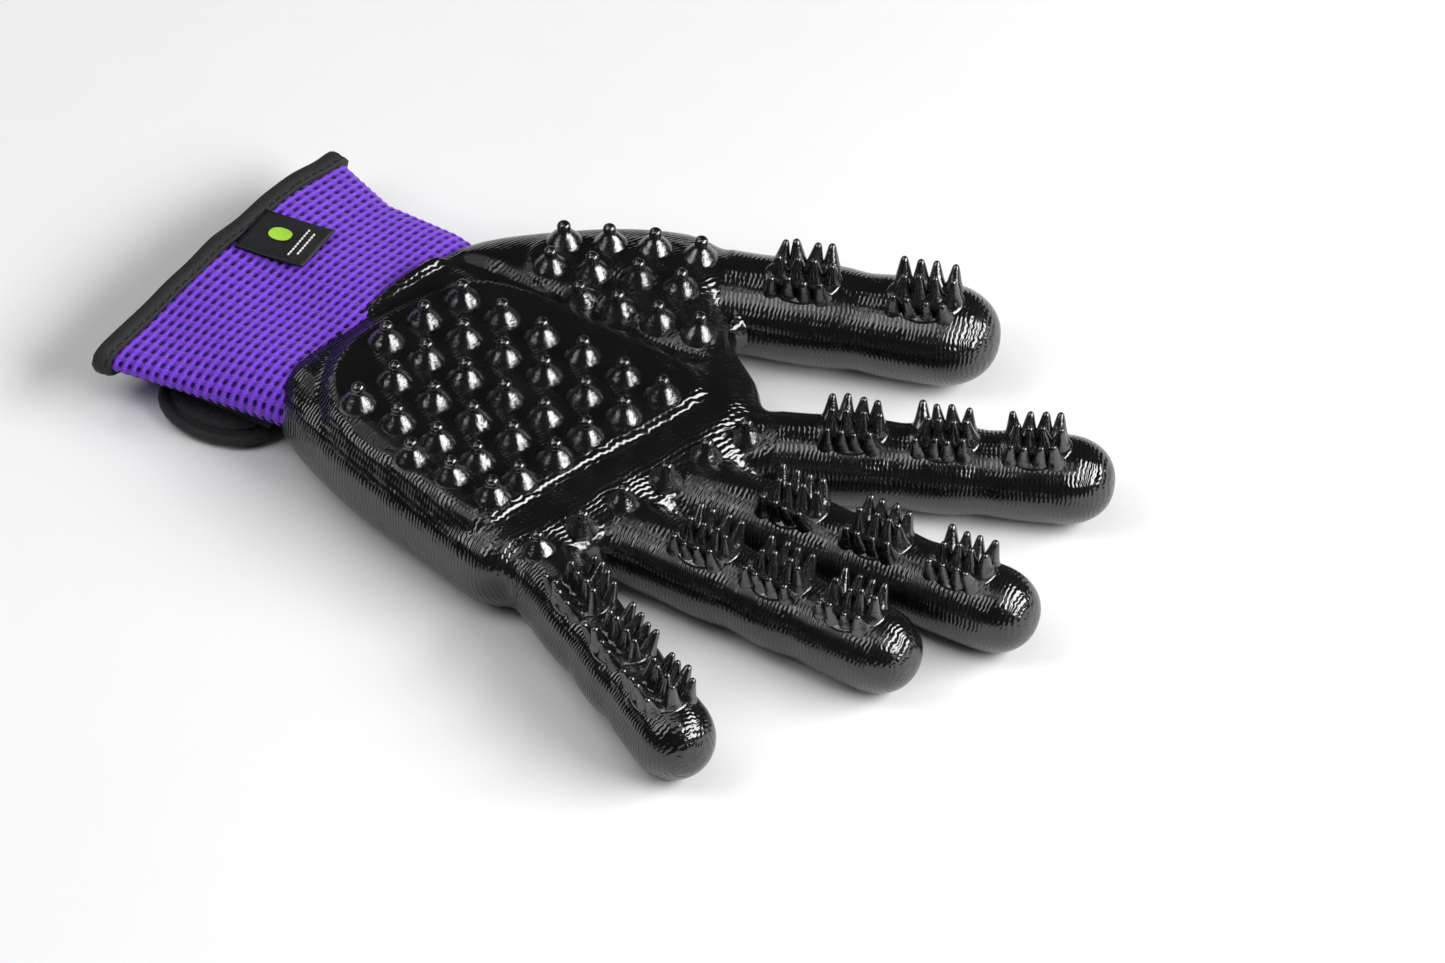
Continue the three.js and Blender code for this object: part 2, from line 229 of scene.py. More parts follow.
# courses of a knit: ribs across the first axis, each broken into small loops along the second
def knitRibsGroup():
    group, given, result = socketGroup(
        "knitRibs",
        [("Place", "NodeSocketVector", None), ("Ribs per cm", "NodeSocketFloat", 8.0),
         ("Loops per cm", "NodeSocketFloat", 9.0), ("Loop depth", "NodeSocketFloat", 0.35)],
        [("Height", "NodeSocketFloat"), ("Mask", "NodeSocketFloat")])
    split = group.nodes.new("ShaderNodeSeparateXYZ")
    group.links.new(given.outputs["Place"], split.inputs[0])
    wobble = group.nodes.new("ShaderNodeTexNoise")
    wobble.inputs["Scale"].default_value = 1.6
    wobble.inputs["Detail"].default_value = 2
    group.links.new(given.outputs["Place"], wobble.inputs["Vector"])
    drift = mathNode(group, "MULTIPLY", wobble.outputs["Fac"], 0.26)
    along = mathNode(group, "ADD", split.outputs["X"], drift)
    ribs = mathNode(group, "MULTIPLY", mathNode(group, "MULTIPLY", along, given.outputs["Ribs per cm"]),
                    2 * math.pi)
    loops = mathNode(group, "MULTIPLY",
                     mathNode(group, "MULTIPLY", split.outputs["Y"], given.outputs["Loops per cm"]),
                     2 * math.pi)
    loopWave = mathNode(group, "SINE", loops)
    bent = mathNode(group, "ADD", ribs, mathNode(group, "MULTIPLY", loopWave, 0.4))
    wave = mathNode(group, "SINE", bent)
    raised = mathNode(group, "ADD", mathNode(group, "MULTIPLY", wave, 0.5), 0.5)
    dimple = mathNode(group, "MULTIPLY", mathNode(group, "COSINE", loops), given.outputs["Loop depth"])
    height = mathNode(group, "ADD", raised, dimple)
    group.links.new(height, result.inputs["Height"])
    group.links.new(raised, result.inputs["Mask"])
    return group


# slow uneven colour and gloss, as on anything that is handled
def patchinessGroup():
    group, given, result = socketGroup(
        "patchiness",
        [("Place", "NodeSocketVector", None), ("Scale", "NodeSocketFloat", 60.0),
         ("Low", "NodeSocketFloat", 0.0), ("High", "NodeSocketFloat", 1.0)],
        [("Value", "NodeSocketFloat")])
    noise = group.nodes.new("ShaderNodeTexNoise")
    noise.inputs["Detail"].default_value = 5
    noise.inputs["Roughness"].default_value = 0.6
    group.links.new(given.outputs["Place"], noise.inputs["Vector"])
    group.links.new(given.outputs["Scale"], noise.inputs["Scale"])
    spread = group.nodes.new("ShaderNodeMapRange")
    spread.inputs["From Min"].default_value = 0.3
    spread.inputs["From Max"].default_value = 0.7
    group.links.new(noise.outputs["Fac"], spread.inputs["Value"])
    group.links.new(given.outputs["Low"], spread.inputs["To Min"])
    group.links.new(given.outputs["High"], spread.inputs["To Max"])
    group.links.new(spread.outputs["Result"], result.inputs["Value"])
    return group


# fine crossing threads of a woven or tufted cloth
def threadGroup():
    group, given, result = socketGroup(
        "threads",
        [("Place", "NodeSocketVector", None), ("Threads per mm", "NodeSocketFloat", 2.5),
         ("Fuzz", "NodeSocketFloat", 0.4)],
        [("Height", "NodeSocketFloat")])
    split = group.nodes.new("ShaderNodeSeparateXYZ")
    group.links.new(given.outputs["Place"], split.inputs[0])
    rate = mathNode(group, "MULTIPLY", given.outputs["Threads per mm"], 2 * math.pi * 1000)
    first = mathNode(group, "SINE", mathNode(group, "MULTIPLY", split.outputs["X"], rate))
    second = mathNode(group, "SINE", mathNode(group, "MULTIPLY", split.outputs["Y"], rate))
    cross = mathNode(group, "MULTIPLY", first, second)
    noise = group.nodes.new("ShaderNodeTexNoise")
    noise.inputs["Scale"].default_value = 1400
    noise.inputs["Detail"].default_value = 3
    group.links.new(given.outputs["Place"], noise.inputs["Vector"])
    fuzz = mathNode(group, "MULTIPLY", noise.outputs["Fac"], given.outputs["Fuzz"])
    height = mathNode(group, "ADD", mathNode(group, "MULTIPLY", cross, 0.3), fuzz)
    group.links.new(height, result.inputs["Height"])
    return group


knitRibs = knitRibsGroup()
patchiness = patchinessGroup()
threads = threadGroup()


# a new material with its shader and coordinate nodes
def startMaterial(name, roughness):
    material = bpy.data.materials.new(name)
    material.use_nodes = True
    tree = material.node_tree
    shader = tree.nodes["Principled BSDF"]
    shader.inputs["Roughness"].default_value = roughness
    coords = tree.nodes.new("ShaderNodeTexCoord")
    return material, tree, shader, coords


# a group node fed with places; an underscore in a value's name stands for a space
def placed(tree, group, place, **values):
    node = tree.nodes.new("ShaderNodeGroup")
    node.node_tree = group
    tree.links.new(place, node.inputs["Place"])
    for label, value in values.items():
        node.inputs[label.replace("_", " ")].default_value = value
    return node


def colourBetween(tree, factor, dark, light):
    mix = tree.nodes.new("ShaderNodeMix")
    mix.data_type = "RGBA"
    mix.inputs["A"].default_value = (*dark, 1)
    mix.inputs["B"].default_value = (*light, 1)
    tree.links.new(factor, mix.inputs["Factor"])
    return mix.outputs["Result"]


def bumpFrom(tree, shader, height, strength, distance):
    bump = tree.nodes.new("ShaderNodeBump")
    bump.inputs["Strength"].default_value = strength
    bump.inputs["Distance"].default_value = distance * mm
    tree.links.new(height, bump.inputs["Height"])
    tree.links.new(bump.outputs["Normal"], shader.inputs["Normal"])


# glossy rubber over a knit, whose courses show through
def dippedRubber():
    material, tree, shader, coords = startMaterial("dippedRubber", 0.2)
    shader.inputs["IOR"].default_value = 1.6
    shader.inputs["Specular IOR Level"].default_value = 0.62
    uv = coords.outputs["UV"]
    ribs = placed(tree, knitRibs, uv, Ribs_per_cm=8.4, Loops_per_cm=5.0, Loop_depth=0.0)
    gloss = placed(tree, patchiness, coords.outputs["Object"], Scale=90.0, Low=0.1, High=0.22)
    tone = placed(tree, patchiness, coords.outputs["Object"], Scale=40.0)
    colour = colourBetween(tree, tone.outputs["Value"], (0.002, 0.002, 0.0024), (0.0045, 0.0042, 0.0045))
    tree.links.new(colour, shader.inputs["Base Color"])
    tree.links.new(gloss.outputs["Value"], shader.inputs["Roughness"])
    bumpFrom(tree, shader, ribs.outputs["Height"], 0.48, 0.22)
    return material


# smooth glossy rubber of the nubs and spikes, with faint ripples
def mouldedRubber():
    material, tree, shader, coords = startMaterial("mouldedRubber", 0.14)
    shader.inputs["IOR"].default_value = 1.6
    shader.inputs["Specular IOR Level"].default_value = 0.9
    place = coords.outputs["Object"]
    gloss = placed(tree, patchiness, place, Scale=220.0, Low=0.08, High=0.22)
    ripple = placed(tree, patchiness, place, Scale=420.0)
    tone = placed(tree, patchiness, place, Scale=60.0)
    colour = colourBetween(tree, tone.outputs["Value"], (0.003, 0.003, 0.0035), (0.007, 0.0065, 0.007))
    tree.links.new(colour, shader.inputs["Base Color"])
    tree.links.new(gloss.outputs["Value"], shader.inputs["Roughness"])
    bumpFrom(tree, shader, ripple.outputs["Value"], 0.3, 0.35)
    return material


def fabric(name, dark, light, roughness, density, fuzz, strength, sheen=0.3):
    material, tree, shader, coords = startMaterial(name, roughness)
    shader.inputs["Sheen Weight"].default_value = sheen
    shader.inputs["Sheen Roughness"].default_value = 0.5
    place = coords.outputs["Object"]
    tone = placed(tree, patchiness, place, Scale=240.0)
    weave = placed(tree, threads, place, Threads_per_mm=density, Fuzz=fuzz)
    colour = colourBetween(tree, tone.outputs["Value"], dark, light)
    tree.links.new(colour, shader.inputs["Base Color"])
    bumpFrom(tree, shader, weave.outputs["Height"], strength, 0.3)
    return material


# the fine violet knit of the back of the hand
def knitBack():
    material, tree, shader, coords = startMaterial("knitBack", 0.8)
    shader.inputs["Sheen Weight"].default_value = 0.4
    scale = tree.nodes.new("ShaderNodeMapping")
    scale.inputs["Scale"].default_value = (100, 100, 100)
    tree.links.new(coords.outputs["Object"], scale.inputs["Vector"])
    ribs = placed(tree, knitRibs, scale.outputs["Vector"], Ribs_per_cm=9.0, Loops_per_cm=8.0,
                  Loop_depth=0.45)
    colour = colourBetween(tree, ribs.outputs["Mask"], (0.045, 0.008, 0.16), (0.19, 0.045, 0.56))
    tree.links.new(colour, shader.inputs["Base Color"])
    bumpFrom(tree, shader, ribs.outputs["Height"], 0.8, 0.5)
    return material


# bright strands along the hem with looser knitting between them, coloured lighter on the strands and
# darker between, partly the mesh's own violet and partly painted light on the raised strands and painted
# shade between them; reads the cell grid
def airMesh():
    material, tree, shader, coords = startMaterial("airMesh", 0.75)
    shader.inputs["Sheen Weight"].default_value = 0.12
    split = tree.nodes.new("ShaderNodeSeparateXYZ")
    tree.links.new(coords.outputs["UV"], split.inputs[0])
    turn = 2 * math.pi
    strand = mathNode(tree, "ADD", mathNode(tree, "MULTIPLY", mathNode(
        tree, "COSINE", mathNode(tree, "MULTIPLY", split.outputs["X"], turn)), 0.5), 0.5)
    slant = mathNode(tree, "ADD", mathNode(tree, "MULTIPLY", split.outputs["Y"], 4 * turn),
                     mathNode(tree, "MULTIPLY", split.outputs["X"], 2 * turn))
    twist = mathNode(tree, "ADD", mathNode(tree, "MULTIPLY", mathNode(tree, "SINE", slant), 0.3), 0.7)
    yarn = mathNode(tree, "MULTIPLY", strand, twist)
    weave = placed(tree, threads, coords.outputs["Object"], Threads_per_mm=1.3, Fuzz=1.2)
    factor = mathNode(tree, "ADD", mathNode(tree, "MULTIPLY", yarn, 0.75),
                      mathNode(tree, "MULTIPLY", weave.outputs["Height"], 0.35))
    # lighter on the strands and darker between and round the pits: painted light and painted shade over
    # the mesh's own violet
    colour = colourBetween(tree, factor, (0.042, 0.0035, 0.26), (0.245, 0.042, 0.86))
    tree.links.new(colour, shader.inputs["Base Color"])
    height = mathNode(tree, "ADD", yarn, mathNode(tree, "MULTIPLY", weave.outputs["Height"], 0.5))
    bumpFrom(tree, shader, height, 0.8, 0.35)
    return material


rubberCoat = dippedRubber()
rubberNubs = mouldedRubber()
violetKnit = knitBack()
meshThread = airMesh()
# cloths: dark and light colour, roughness, threads per millimetre, fuzz, bump strength, sheen
# the hole cloth is dark violet: painted shade in the mesh's pits
meshHolePaintedShade = fabric("meshHolePaintedShade", (0.03, 0.005, 0.15), (0.05, 0.008, 0.24), 0.85, 1.6, 0.6, 0.6, 0.0)
blackTape = fabric("blackTape", (0.004, 0.004, 0.005), (0.009, 0.009, 0.01), 0.7, 1.3, 0.6, 0.7, 0.0)
blackThread = fabric("blackThread", (0.012, 0.012, 0.013), (0.028, 0.028, 0.03), 0.5, 3.0, 0.3, 0.4, 0.0)
blackPile = fabric("blackPile", (0.003, 0.003, 0.004), (0.016, 0.016, 0.018), 0.95, 0.9, 1.6, 1.0, 0.15)
labelSatin = fabric("labelSatin", (0.004, 0.004, 0.005), (0.009, 0.009, 0.01), 0.45, 2.2, 0.25, 0.5, 0.0)
labelGreen = fabric("labelGreen", (0.3, 0.6, 0.03), (0.42, 0.76, 0.06), 0.6, 3.2, 0.3, 0.4, 0.0)
labelWhite = fabric("labelWhite", (0.6, 0.6, 0.58), (0.75, 0.75, 0.74), 0.6, 3.2, 0.3, 0.4, 0.0)
badgeRubber = fabric("badgeRubber", (0.006, 0.006, 0.007), (0.012, 0.012, 0.013), 0.42, 0.8, 0.5,
                     0.25, 0.0)
badgeViolet = fabric("badgeViolet", (0.21, 0.06, 0.5), (0.3, 0.1, 0.66), 0.45, 1.2, 0.5, 0.2, 0.0)
print("materials ready")


view = {
    "azimuth": 32.1,  # degrees round from the front
    "elevation": 42.5,
    "distance": 9,
    "frameWidth": 0.378,  # metres across the picture at the aim
    "aim": (63.9, 2.8, 26),
}
lights = {  # bearing and height in degrees, distance and size in metres, power in watts
    "keyWindow": (74, 34, 1.3, (1.4, 0.5), 30),
    "leftFill": (-75, 50, 1.25, (0.6, 0.9), 6),
    "overhead": (8, 76, 1.5, (0.8, 0.8), 3),
    "behindLeft": (-140, 48, 1.4, (0.6, 0.3), 2),
}


def makeCamera():
    data = bpy.data.cameras.new("camera")
    data.sensor_width = 36
    data.lens = data.sensor_width * view["distance"] / view["frameWidth"]
    data.clip_start = 0.01
    camera = bpy.data.objects.new("camera", data)
    scene.collection.objects.link(camera)
    turn = math.radians(view["azimuth"])
    tilt = math.radians(view["elevation"])
    away = Vector((-math.sin(turn), math.cos(turn), 0)) * math.cos(tilt) - up * math.sin(tilt)
    camera.location = hand(*view["aim"]) - away * view["distance"]
    camera.rotation_euler = away.to_track_quat("-Z", "Y").to_euler()
    scene.camera = camera


# a soft light, its bearing in degrees to the right of the camera's own direction
def areaLight(name, bearing, height, distance, size, power):
    data = bpy.data.lights.new(name, "AREA")
    data.shape = "RECTANGLE"
    data.size, data.size_y = size
    data.energy = power
    light = bpy.data.objects.new(name, data)
    scene.collection.objects.link(light)
    turn = math.radians(view["azimuth"] + bearing)
    tilt = math.radians(height)
    away = Vector((-math.sin(turn), math.cos(turn), 0)) * math.cos(tilt) - up * math.sin(tilt)
    light.location = hand(30, 5, 15) - away * distance
    light.rotation_euler = away.to_track_quat("-Z", "Y").to_euler()


def makeStage():
    bm = bmesh.new()
    bmesh.ops.create_grid(bm, x_segments=1, y_segments=1, size=4)
    bmesh.ops.translate(bm, verts=bm.verts, vec=(0, 0, -0.4 * mm))
    material, tree, shader, coords = startMaterial("paleFloor", 0.6)
    tone = placed(tree, patchiness, coords.outputs["Object"], Scale=3.0)
    colour = colourBetween(tree, tone.outputs["Value"], (0.76, 0.76, 0.77), (0.8, 0.8, 0.8))
    tree.links.new(colour, shader.inputs["Base Color"])
    newPiece("floor", bm, material, smooth=False)
    world = bpy.data.worlds.new("studio")
    world.use_nodes = True
    world.node_tree.nodes["Background"].inputs["Color"].default_value = (0.95, 0.96, 1, 1)
    world.node_tree.nodes["Background"].inputs["Strength"].default_value = 0.045
    scene.world = world
    for name, values in lights.items():
        areaLight(name, *values)


makeCamera()
makeStage()
print("camera and stage ready")


palm = {
    "outline": [
        (-61, -20), (-36, -37), (0, -48), (27, -53.5), (38, -42), (46, -26), (51, -10), (57, 8),
        (59, 27), (51, 44), (34, 57), (22, 73), (11, 87), (-4, 85), (-24, 73), (-44, 55),
        (-53, 36), (-57, 8)],
    "height": 26,
    "edge": 12,
    "voxel": 1.25,
    "smoothing": 7,
    "thumbBall": ((0, 63, 13.5), (36, 21, 14), 20),  # middle, half sizes and turn
    "heel": ((-40, -10, 13), (21, 23, 13.2), 0),
    "stubStart": {"thumb": -16, "finger": -14},  # from a finger's root
    "stubPast": 2,  # how far the stubs reach under the fingers' own skin
    "fingerZone": 1.7,  # how far out of a finger's oval the palm is drawn to it
    "backInset": 9.5,  # how far the knit back stays inside the outline
}
relief = {  # heights of the palm's features, in millimetres
    "pad": 2.3,
    "padRim": 0.35,
    "thumbPad": 0.9,
    "fold": 1.6,
    "knuckleDip": 1.3,
    "wristLip": 3.4,
    "unevenness": 0.35,
}
# outlines and rows of the nub pads, in millimetres from the middle of the palm pad
padOutline = [
    (-46, -3), (-41, -22), (-29, -33), (-8, -38.5), (13, -43), (19, -40), (25, -18), (38, 22),
    (38, 30), (30, 34), (6, 36), (-18, 37), (-36, 27)]
nubRows = [((-30.5, 25), 6), ((-35, 13), 6), ((-39, 0.5), 6), ((-28.5, -12), 5), ((-32, -24), 5),
           ((-9, -34), 3)]
nubPitch = (12.9, -0.7)
thumbRows = [((-21, 60), (11, 4.6)), ((-19, 49.8), (11.3, 3.6)), ((-6, 43.6), (11.2, 1.7))]
knuckleRow = ((35, -41), (4.4, 13.4), 6)
thumbPadOutline = [(-27, 60), (-24, 47), (-8, 38.5), (12, 40), (30, 44), (32, 50), (23, 66), (15, 79),
                   (5, 77), (-12, 69)]
fingerNames = ["index", "middle", "ring", "pinky"]


# a finger's root, directions and sizes, read from its hinges and nodes
def fingerPlan(name):
    knuckle = joints[f"{name}_knuckle_bend"]
    along = up.cross(Vector(knuckle["axis"])).normalized()
    side = up.cross(along)
    low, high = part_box(f"{name}_tip")
    root = Vector(knuckle["pos_m"]) - along * 11 * mm
    root.z = (low.z + high.z) / 2
    crease = [(Vector(joints[f"{name}_{bend}"]["pos_m"]) - root).dot(along) / mm
              for bend in ("knuckle_bend", "middle_bend", "tip_bend")]
    sides = spanAlong(f"{name}_proximal", side)
    return {
        "name": name, "root": root, "along": along, "side": side, "creases": crease,
        "reach": (spanAlong(f"{name}_tip", along)[1] - root.dot(along)) / mm,
        "width": (sides[1] - sides[0]) / mm, "height": (high.z - low.z) / mm,
        "bodies": ["palm"] + [f"{name}_{part}_segment" for part in ("proximal", "middle", "tip")],
    }


def thumbPlan():
    base = joints["thumb_base_bend"]
    along = up.cross(Vector(base["axis"])).normalized()
    side = up.cross(along)
    low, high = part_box("thumb_tip")
    root = Vector(base["pos_m"])
    root.z = (low.z + high.z) / 2
    bend = (Vector(joints["thumb_tip_bend"]["pos_m"]) - root).dot(along) / mm
    sides = spanAlong("thumb_base", side)
    return {
        "name": "thumb", "root": root, "along": along, "side": side, "creases": [0, bend],
        "reach": (spanAlong("thumb_tip", along)[1] - root.dot(along)) / mm,
        "width": (sides[1] - sides[0]) / mm, "height": (high.z - low.z) / mm,
        "bodies": ["palm", "thumb_base_segment", "thumb_tip_segment"],
    }


fingerSkin = {
    "segments": 44,
    "ringSpacing": 1.5,
    "nose": 0.56,  # length of the rounded end, in widths
    "noseRings": 14,
    "tuck": 0.06,  # how far the skin narrows where it runs back under the palm
    "swell": 0.03,  # plumper between the creases
    "pinch": 0.035,  # tighter at each crease
}


# how the finger's section swells and narrows along its length
def girth(plan, along):
    creases = plan["creases"]
    scale = 1.0
    for crease in creases:
        scale -= fingerSkin["pinch"] * math.exp(-((along - crease) / 4.0) ** 2) * (crease > creases[0])
    stops = creases + [plan["reach"]]
    for start, end in zip(stops, stops[1:]):
        if start < along < end:
            part = (along - start) / (end - start)
            scale += fingerSkin["swell"] * math.sin(math.pi * part) ** 2
    nose = plan["width"] * fingerSkin["nose"]
    past = max(along - (plan["reach"] - nose), 0) / nose
    return scale * max(1 - past ** 2.25, 0) ** (1 / 2.25)


plans = {name: fingerPlan(name) for name in fingerNames}
plans["thumb"] = thumbPlan()
blendBefore = 4  # millimetres before a finger's first crease where the palm's skin gives way to the finger's


# a rounded lump, its middle and half sizes in millimetres
def addLump(bm, place, size, turn):
    matrix = (Matrix.Translation(hand(*place)) @ Matrix.Rotation(math.radians(turn), 4, "Z")
              @ Matrix.Diagonal((*(value * mm for value in size), 1)))
    bmesh.ops.create_uvsphere(bm, u_segments=32, v_segments=20, radius=1, matrix=matrix)


# an oval rod along a finger, in millimetres from its root
def addStub(bm, plan, start, end):
    turn = Matrix((plan["along"], plan["side"], up)).transposed().to_4x4()
    middle = plan["root"] + plan["along"] * (start + end) / 2 * mm
    matrix = (Matrix.Translation(middle) @ turn
              @ Matrix.Diagonal((1, plan["width"] / 2 * mm, plan["height"] / 2 * mm, 1))
              @ Matrix.Rotation(math.pi / 2, 4, "Y"))
    bmesh.ops.create_cone(bm, cap_ends=True, segments=48, radius1=1, radius2=1,
                          depth=(end - start) * mm, matrix=matrix)


# an outline raised between two heights, its rims rounded
def prism(bm, outline, low, high, edge, segments=5):
    start = [bm.verts.new(hand(x, y, low)) for x, y in outline]
    base = bm.faces.new(start)
    raised = bmesh.ops.extrude_face_region(bm, geom=[base])["geom"]
    top = [item for item in raised if isinstance(item, bmesh.types.BMVert)]
    bmesh.ops.translate(bm, verts=top, vec=(0, 0, (high - low) * mm))
    corners = set(start + top)
    rims = [line for line in bm.edges if set(line.verts) <= corners
            and abs(line.verts[0].co.z - line.verts[1].co.z) < 1e-6]
    bmesh.ops.bevel(bm, geom=rims, offset=edge * mm, offset_type="OFFSET", segments=segments,
                    profile=0.5, affect="EDGES", material=-1, clamp_overlap=False)


# joins overlapping lumps into one smooth skin
def fused(bm, voxel, rounds):
    holder = newPiece("form", bm, [])
    modifier = holder.modifiers.new("skin", "REMESH")
    modifier.mode = "VOXEL"
    modifier.voxel_size = voxel * mm
    graph = bpy.context.evaluated_depsgraph_get()
    skin = bmesh.new()
    skin.from_object(holder, graph)
    bpy.data.objects.remove(holder)
    for _ in range(rounds):
        bmesh.ops.smooth_vert(skin, verts=skin.verts, factor=0.5, use_axis_x=True, use_axis_y=True,
                              use_axis_z=True)
    return skin


# signed distance from a closed outline, negative inside, all in millimetres
def distanceToLine(x, y, outline):
    best, inside = 1e9, False
    for (ax, ay), (bx, by) in zip(outline, outline[1:] + outline[:1]):
        dx, dy = bx - ax, by - ay
        t = min(max(((x - ax) * dx + (y - ay) * dy) / (dx * dx + dy * dy), 0), 1)
        best = min(best, math.hypot(x - ax - dx * t, y - ay - dy * t))
        if (ay > y) != (by > y) and x < ax + (y - ay) / (by - ay) * dx:
            inside = not inside
    return -best if inside else best


palmCurve = [(p.x, p.y) for p in closedCurve(palm["outline"], 5)]
padCurve = [(p.x, p.y) for p in closedCurve(padOutline, 4)]
thumbPadCurve = [(p.x, p.y) for p in closedCurve(thumbPadOutline, 4)]


# how far the palm's face rises or dips at a place, in millimetres
def palmRelief(x, y):
    rise = 0.0
    pad = distanceToLine(x, y, padCurve)
    rise += relief["pad"] * smoothStep(4.6, 0.2, pad) - 0.5
    rise += relief["padRim"] * math.exp(-((pad + 0.9) / 0.8) ** 2)
    thumbPad = distanceToLine(x, y, thumbPadCurve)
    rise += relief["thumbPad"] * smoothStep(1.0, -1.0, thumbPad)
    fold = (y - 41) - 0.02 * (x + 10)  # the fold between the palm and the ball of the thumb
    fades = smoothStep(-62, -40, x) * smoothStep(66, 40, x)
    rise -= relief["fold"] * math.exp(-(fold / 3.5) ** 2) * fades
    knuckles = 0.949 * (x - 46) - 0.316 * (y + 5)  # distance past the line before the knuckles
    rise -= relief["knuckleDip"] * math.exp(-(knuckles / 4.5) ** 2) * smoothStep(4, 8, pad)
    wrist = 0.955 * (x + 51.5) - 0.296 * (y - 12)  # distance past the line before the cuff
    lip = smoothStep(2.2, -2.2, wrist) * smoothStep(-26, -12, y) * smoothStep(48, 34, y)
    rise += relief["wristLip"] * lip
    rise += relief["unevenness"] * math.sin(x * 0.11 + 1.3) * math.sin(y * 0.13)
    return rise


def makePalmSkin():
    bm = bmesh.new()
    prism(bm, palmCurve, 0, palm["height"], palm["edge"])
    for lump in (palm["thumbBall"], palm["heel"]):
        addLump(bm, *lump)
    for plan in plans.values():
        start = palm["stubStart"]["thumb" if plan["name"] == "thumb" else "finger"]
        addStub(bm, plan, start, plan["creases"][0] - blendBefore + palm["stubPast"])
    skin = fused(bm, palm["voxel"], palm["smoothing"])
    for corner in skin.verts:
        x, y = (corner.co - padMiddle).x / mm, (corner.co - padMiddle).y / mm
        facing = smoothStep(0.45, 0.9, corner.normal.z)
        if facing > 0:
            corner.co.z += palmRelief(x, y) * facing * mm
    fitToFingers(skin)
    skin.normal_update()
    return skin


# how far along a finger a place is, in millimetres, and how far out of its oval, 1 on its skin
def alongFinger(plan, place):
    offset = (place - plan["root"]) / mm
    out = math.hypot(offset.dot(plan["side"]) / plan["width"] * 2, offset.z / plan["height"] * 2)
    return offset.dot(plan["along"]), out


# the finger whose root a place belongs to, if any
def ownFinger(place):
    best = None
    for plan in plans.values():
        along, out = alongFinger(plan, place)
        if along > -7 and out < palm["fingerZone"] and (best is None or out < best[2]):
            best = (plan, along, out)
    return best


# draws the palm's stubs down to the ovals of the fingers, and past the cut under their skin
def fitToFingers(bm):
    for corner in bm.verts:
        found = ownFinger(corner.co)
        if found is None:
            continue
        plan, along, out = found
        cut = plan["creases"][0] - blendBefore
        if along > cut + 4 or out < 0.4:
            continue
        weight = smoothStep(cut - 11, cut, along) * smoothStep(palm["fingerZone"], 1.3, out)
        oval = girth(plan, along) * (1 - 0.07 * smoothStep(-0.4, 1.2, along - cut))
        axis = plan["root"] + plan["along"] * along * mm
        corner.co = corner.co.lerp(axis + (corner.co - axis) * oval / out, weight)
    loose = []  # the webs between fingers and the skin before the cuts are smoothed
    for corner in bm.verts:
        reach = [alongFinger(plan, corner.co) + (plan["creases"][0] - blendBefore,)
                 for plan in plans.values()]
        near = [along < cut - 1.5 for along, out, cut in reach
                if along > cut - 14 and out < palm["fingerZone"]]
        if near and all(near) or len(near) > 1:
            loose.append(corner)
    for _ in range(6):
        bmesh.ops.smooth_vert(bm, verts=loose, factor=0.5, use_axis_x=True, use_axis_y=True,
                              use_axis_z=True)


# writes a UV map named coat, in centimetres, from a function of the place
def uvFrom(bm, reader):
    layer = bm.loops.layers.uv.new("coat")
    for face in bm.faces:
        for loop in face.loops:
            loop[layer].uv = reader(loop.vert.co)


palmSkin = makePalmSkin()
palmSurface = BVHTree.FromBMesh(palmSkin)
ribTurn = Vector((0.949, -0.316, 0))  # the courses run along the line of the knuckles
ribSide = Vector((0.316, 0.949, 0))


# the coat's UV on the palm, in centimetres
def palmUv(place):
    offset = (place - padMiddle) / mm / 10
    return offset.dot(ribTurn) + offset.z * 0.25, offset.dot(ribSide) + offset.z * 0.6


# the place and facing of the palm's surface under a point
def onPalm(x, y):
    place, normal, _, _ = palmSurface.ray_cast(hand(x, y, 80), Vector((0, 0, -1)))
    return place, normal


# opens the coat at the back and at the cuff
def finishPalmSkin(bm):
    under = [face for face in bm.faces if face.calc_center_median().z < 0.6 * mm and distanceToLine(
        *((face.calc_center_median() - padMiddle) / mm).xy, palmCurve) < -palm["backInset"]]
    bmesh.ops.delete(bm, geom=under, context="FACES")
    mouth = []
    for face in bm.faces:
        x, y, z = (face.calc_center_median() - padMiddle) / mm
        inCuff = ((y - 13.5) / 39) ** 4 + ((z - 14.5) / 9) ** 4 < 1
        if x < -40 and inCuff and face.normal.x < -0.3:
            mouth.append(face)
    bmesh.ops.delete(bm, geom=mouth, context="FACES")
    uvFrom(bm, palmUv)
    piece = newPiece("palmCoat", bm, rubberCoat, clean=False)
    return stands(piece, "palm", "rubber", "palm_coat")


finishPalmSkin(palmSkin)
print("palm ready")


# a point of the finger's skin and its outward direction; angle 90 degrees is the palm side
def fingerSurface(plan, along, angle):
    scale = girth(plan, along)
    across = math.cos(angle) * plan["width"] / 2
    rise = math.sin(angle) * plan["height"] / 2
    scale *= 1 - fingerSkin["tuck"] * smoothStep(0, 4, plan["creases"][0] - blendBefore - 0.3 - along)
    offset = plan["along"] * along + plan["side"] * across * scale + up * rise * scale
    place = plan["root"] + offset * mm
    outwards = (plan["side"] * math.cos(angle) / plan["width"] + up * math.sin(angle) / plan["height"])
    return place, outwards.normalized()


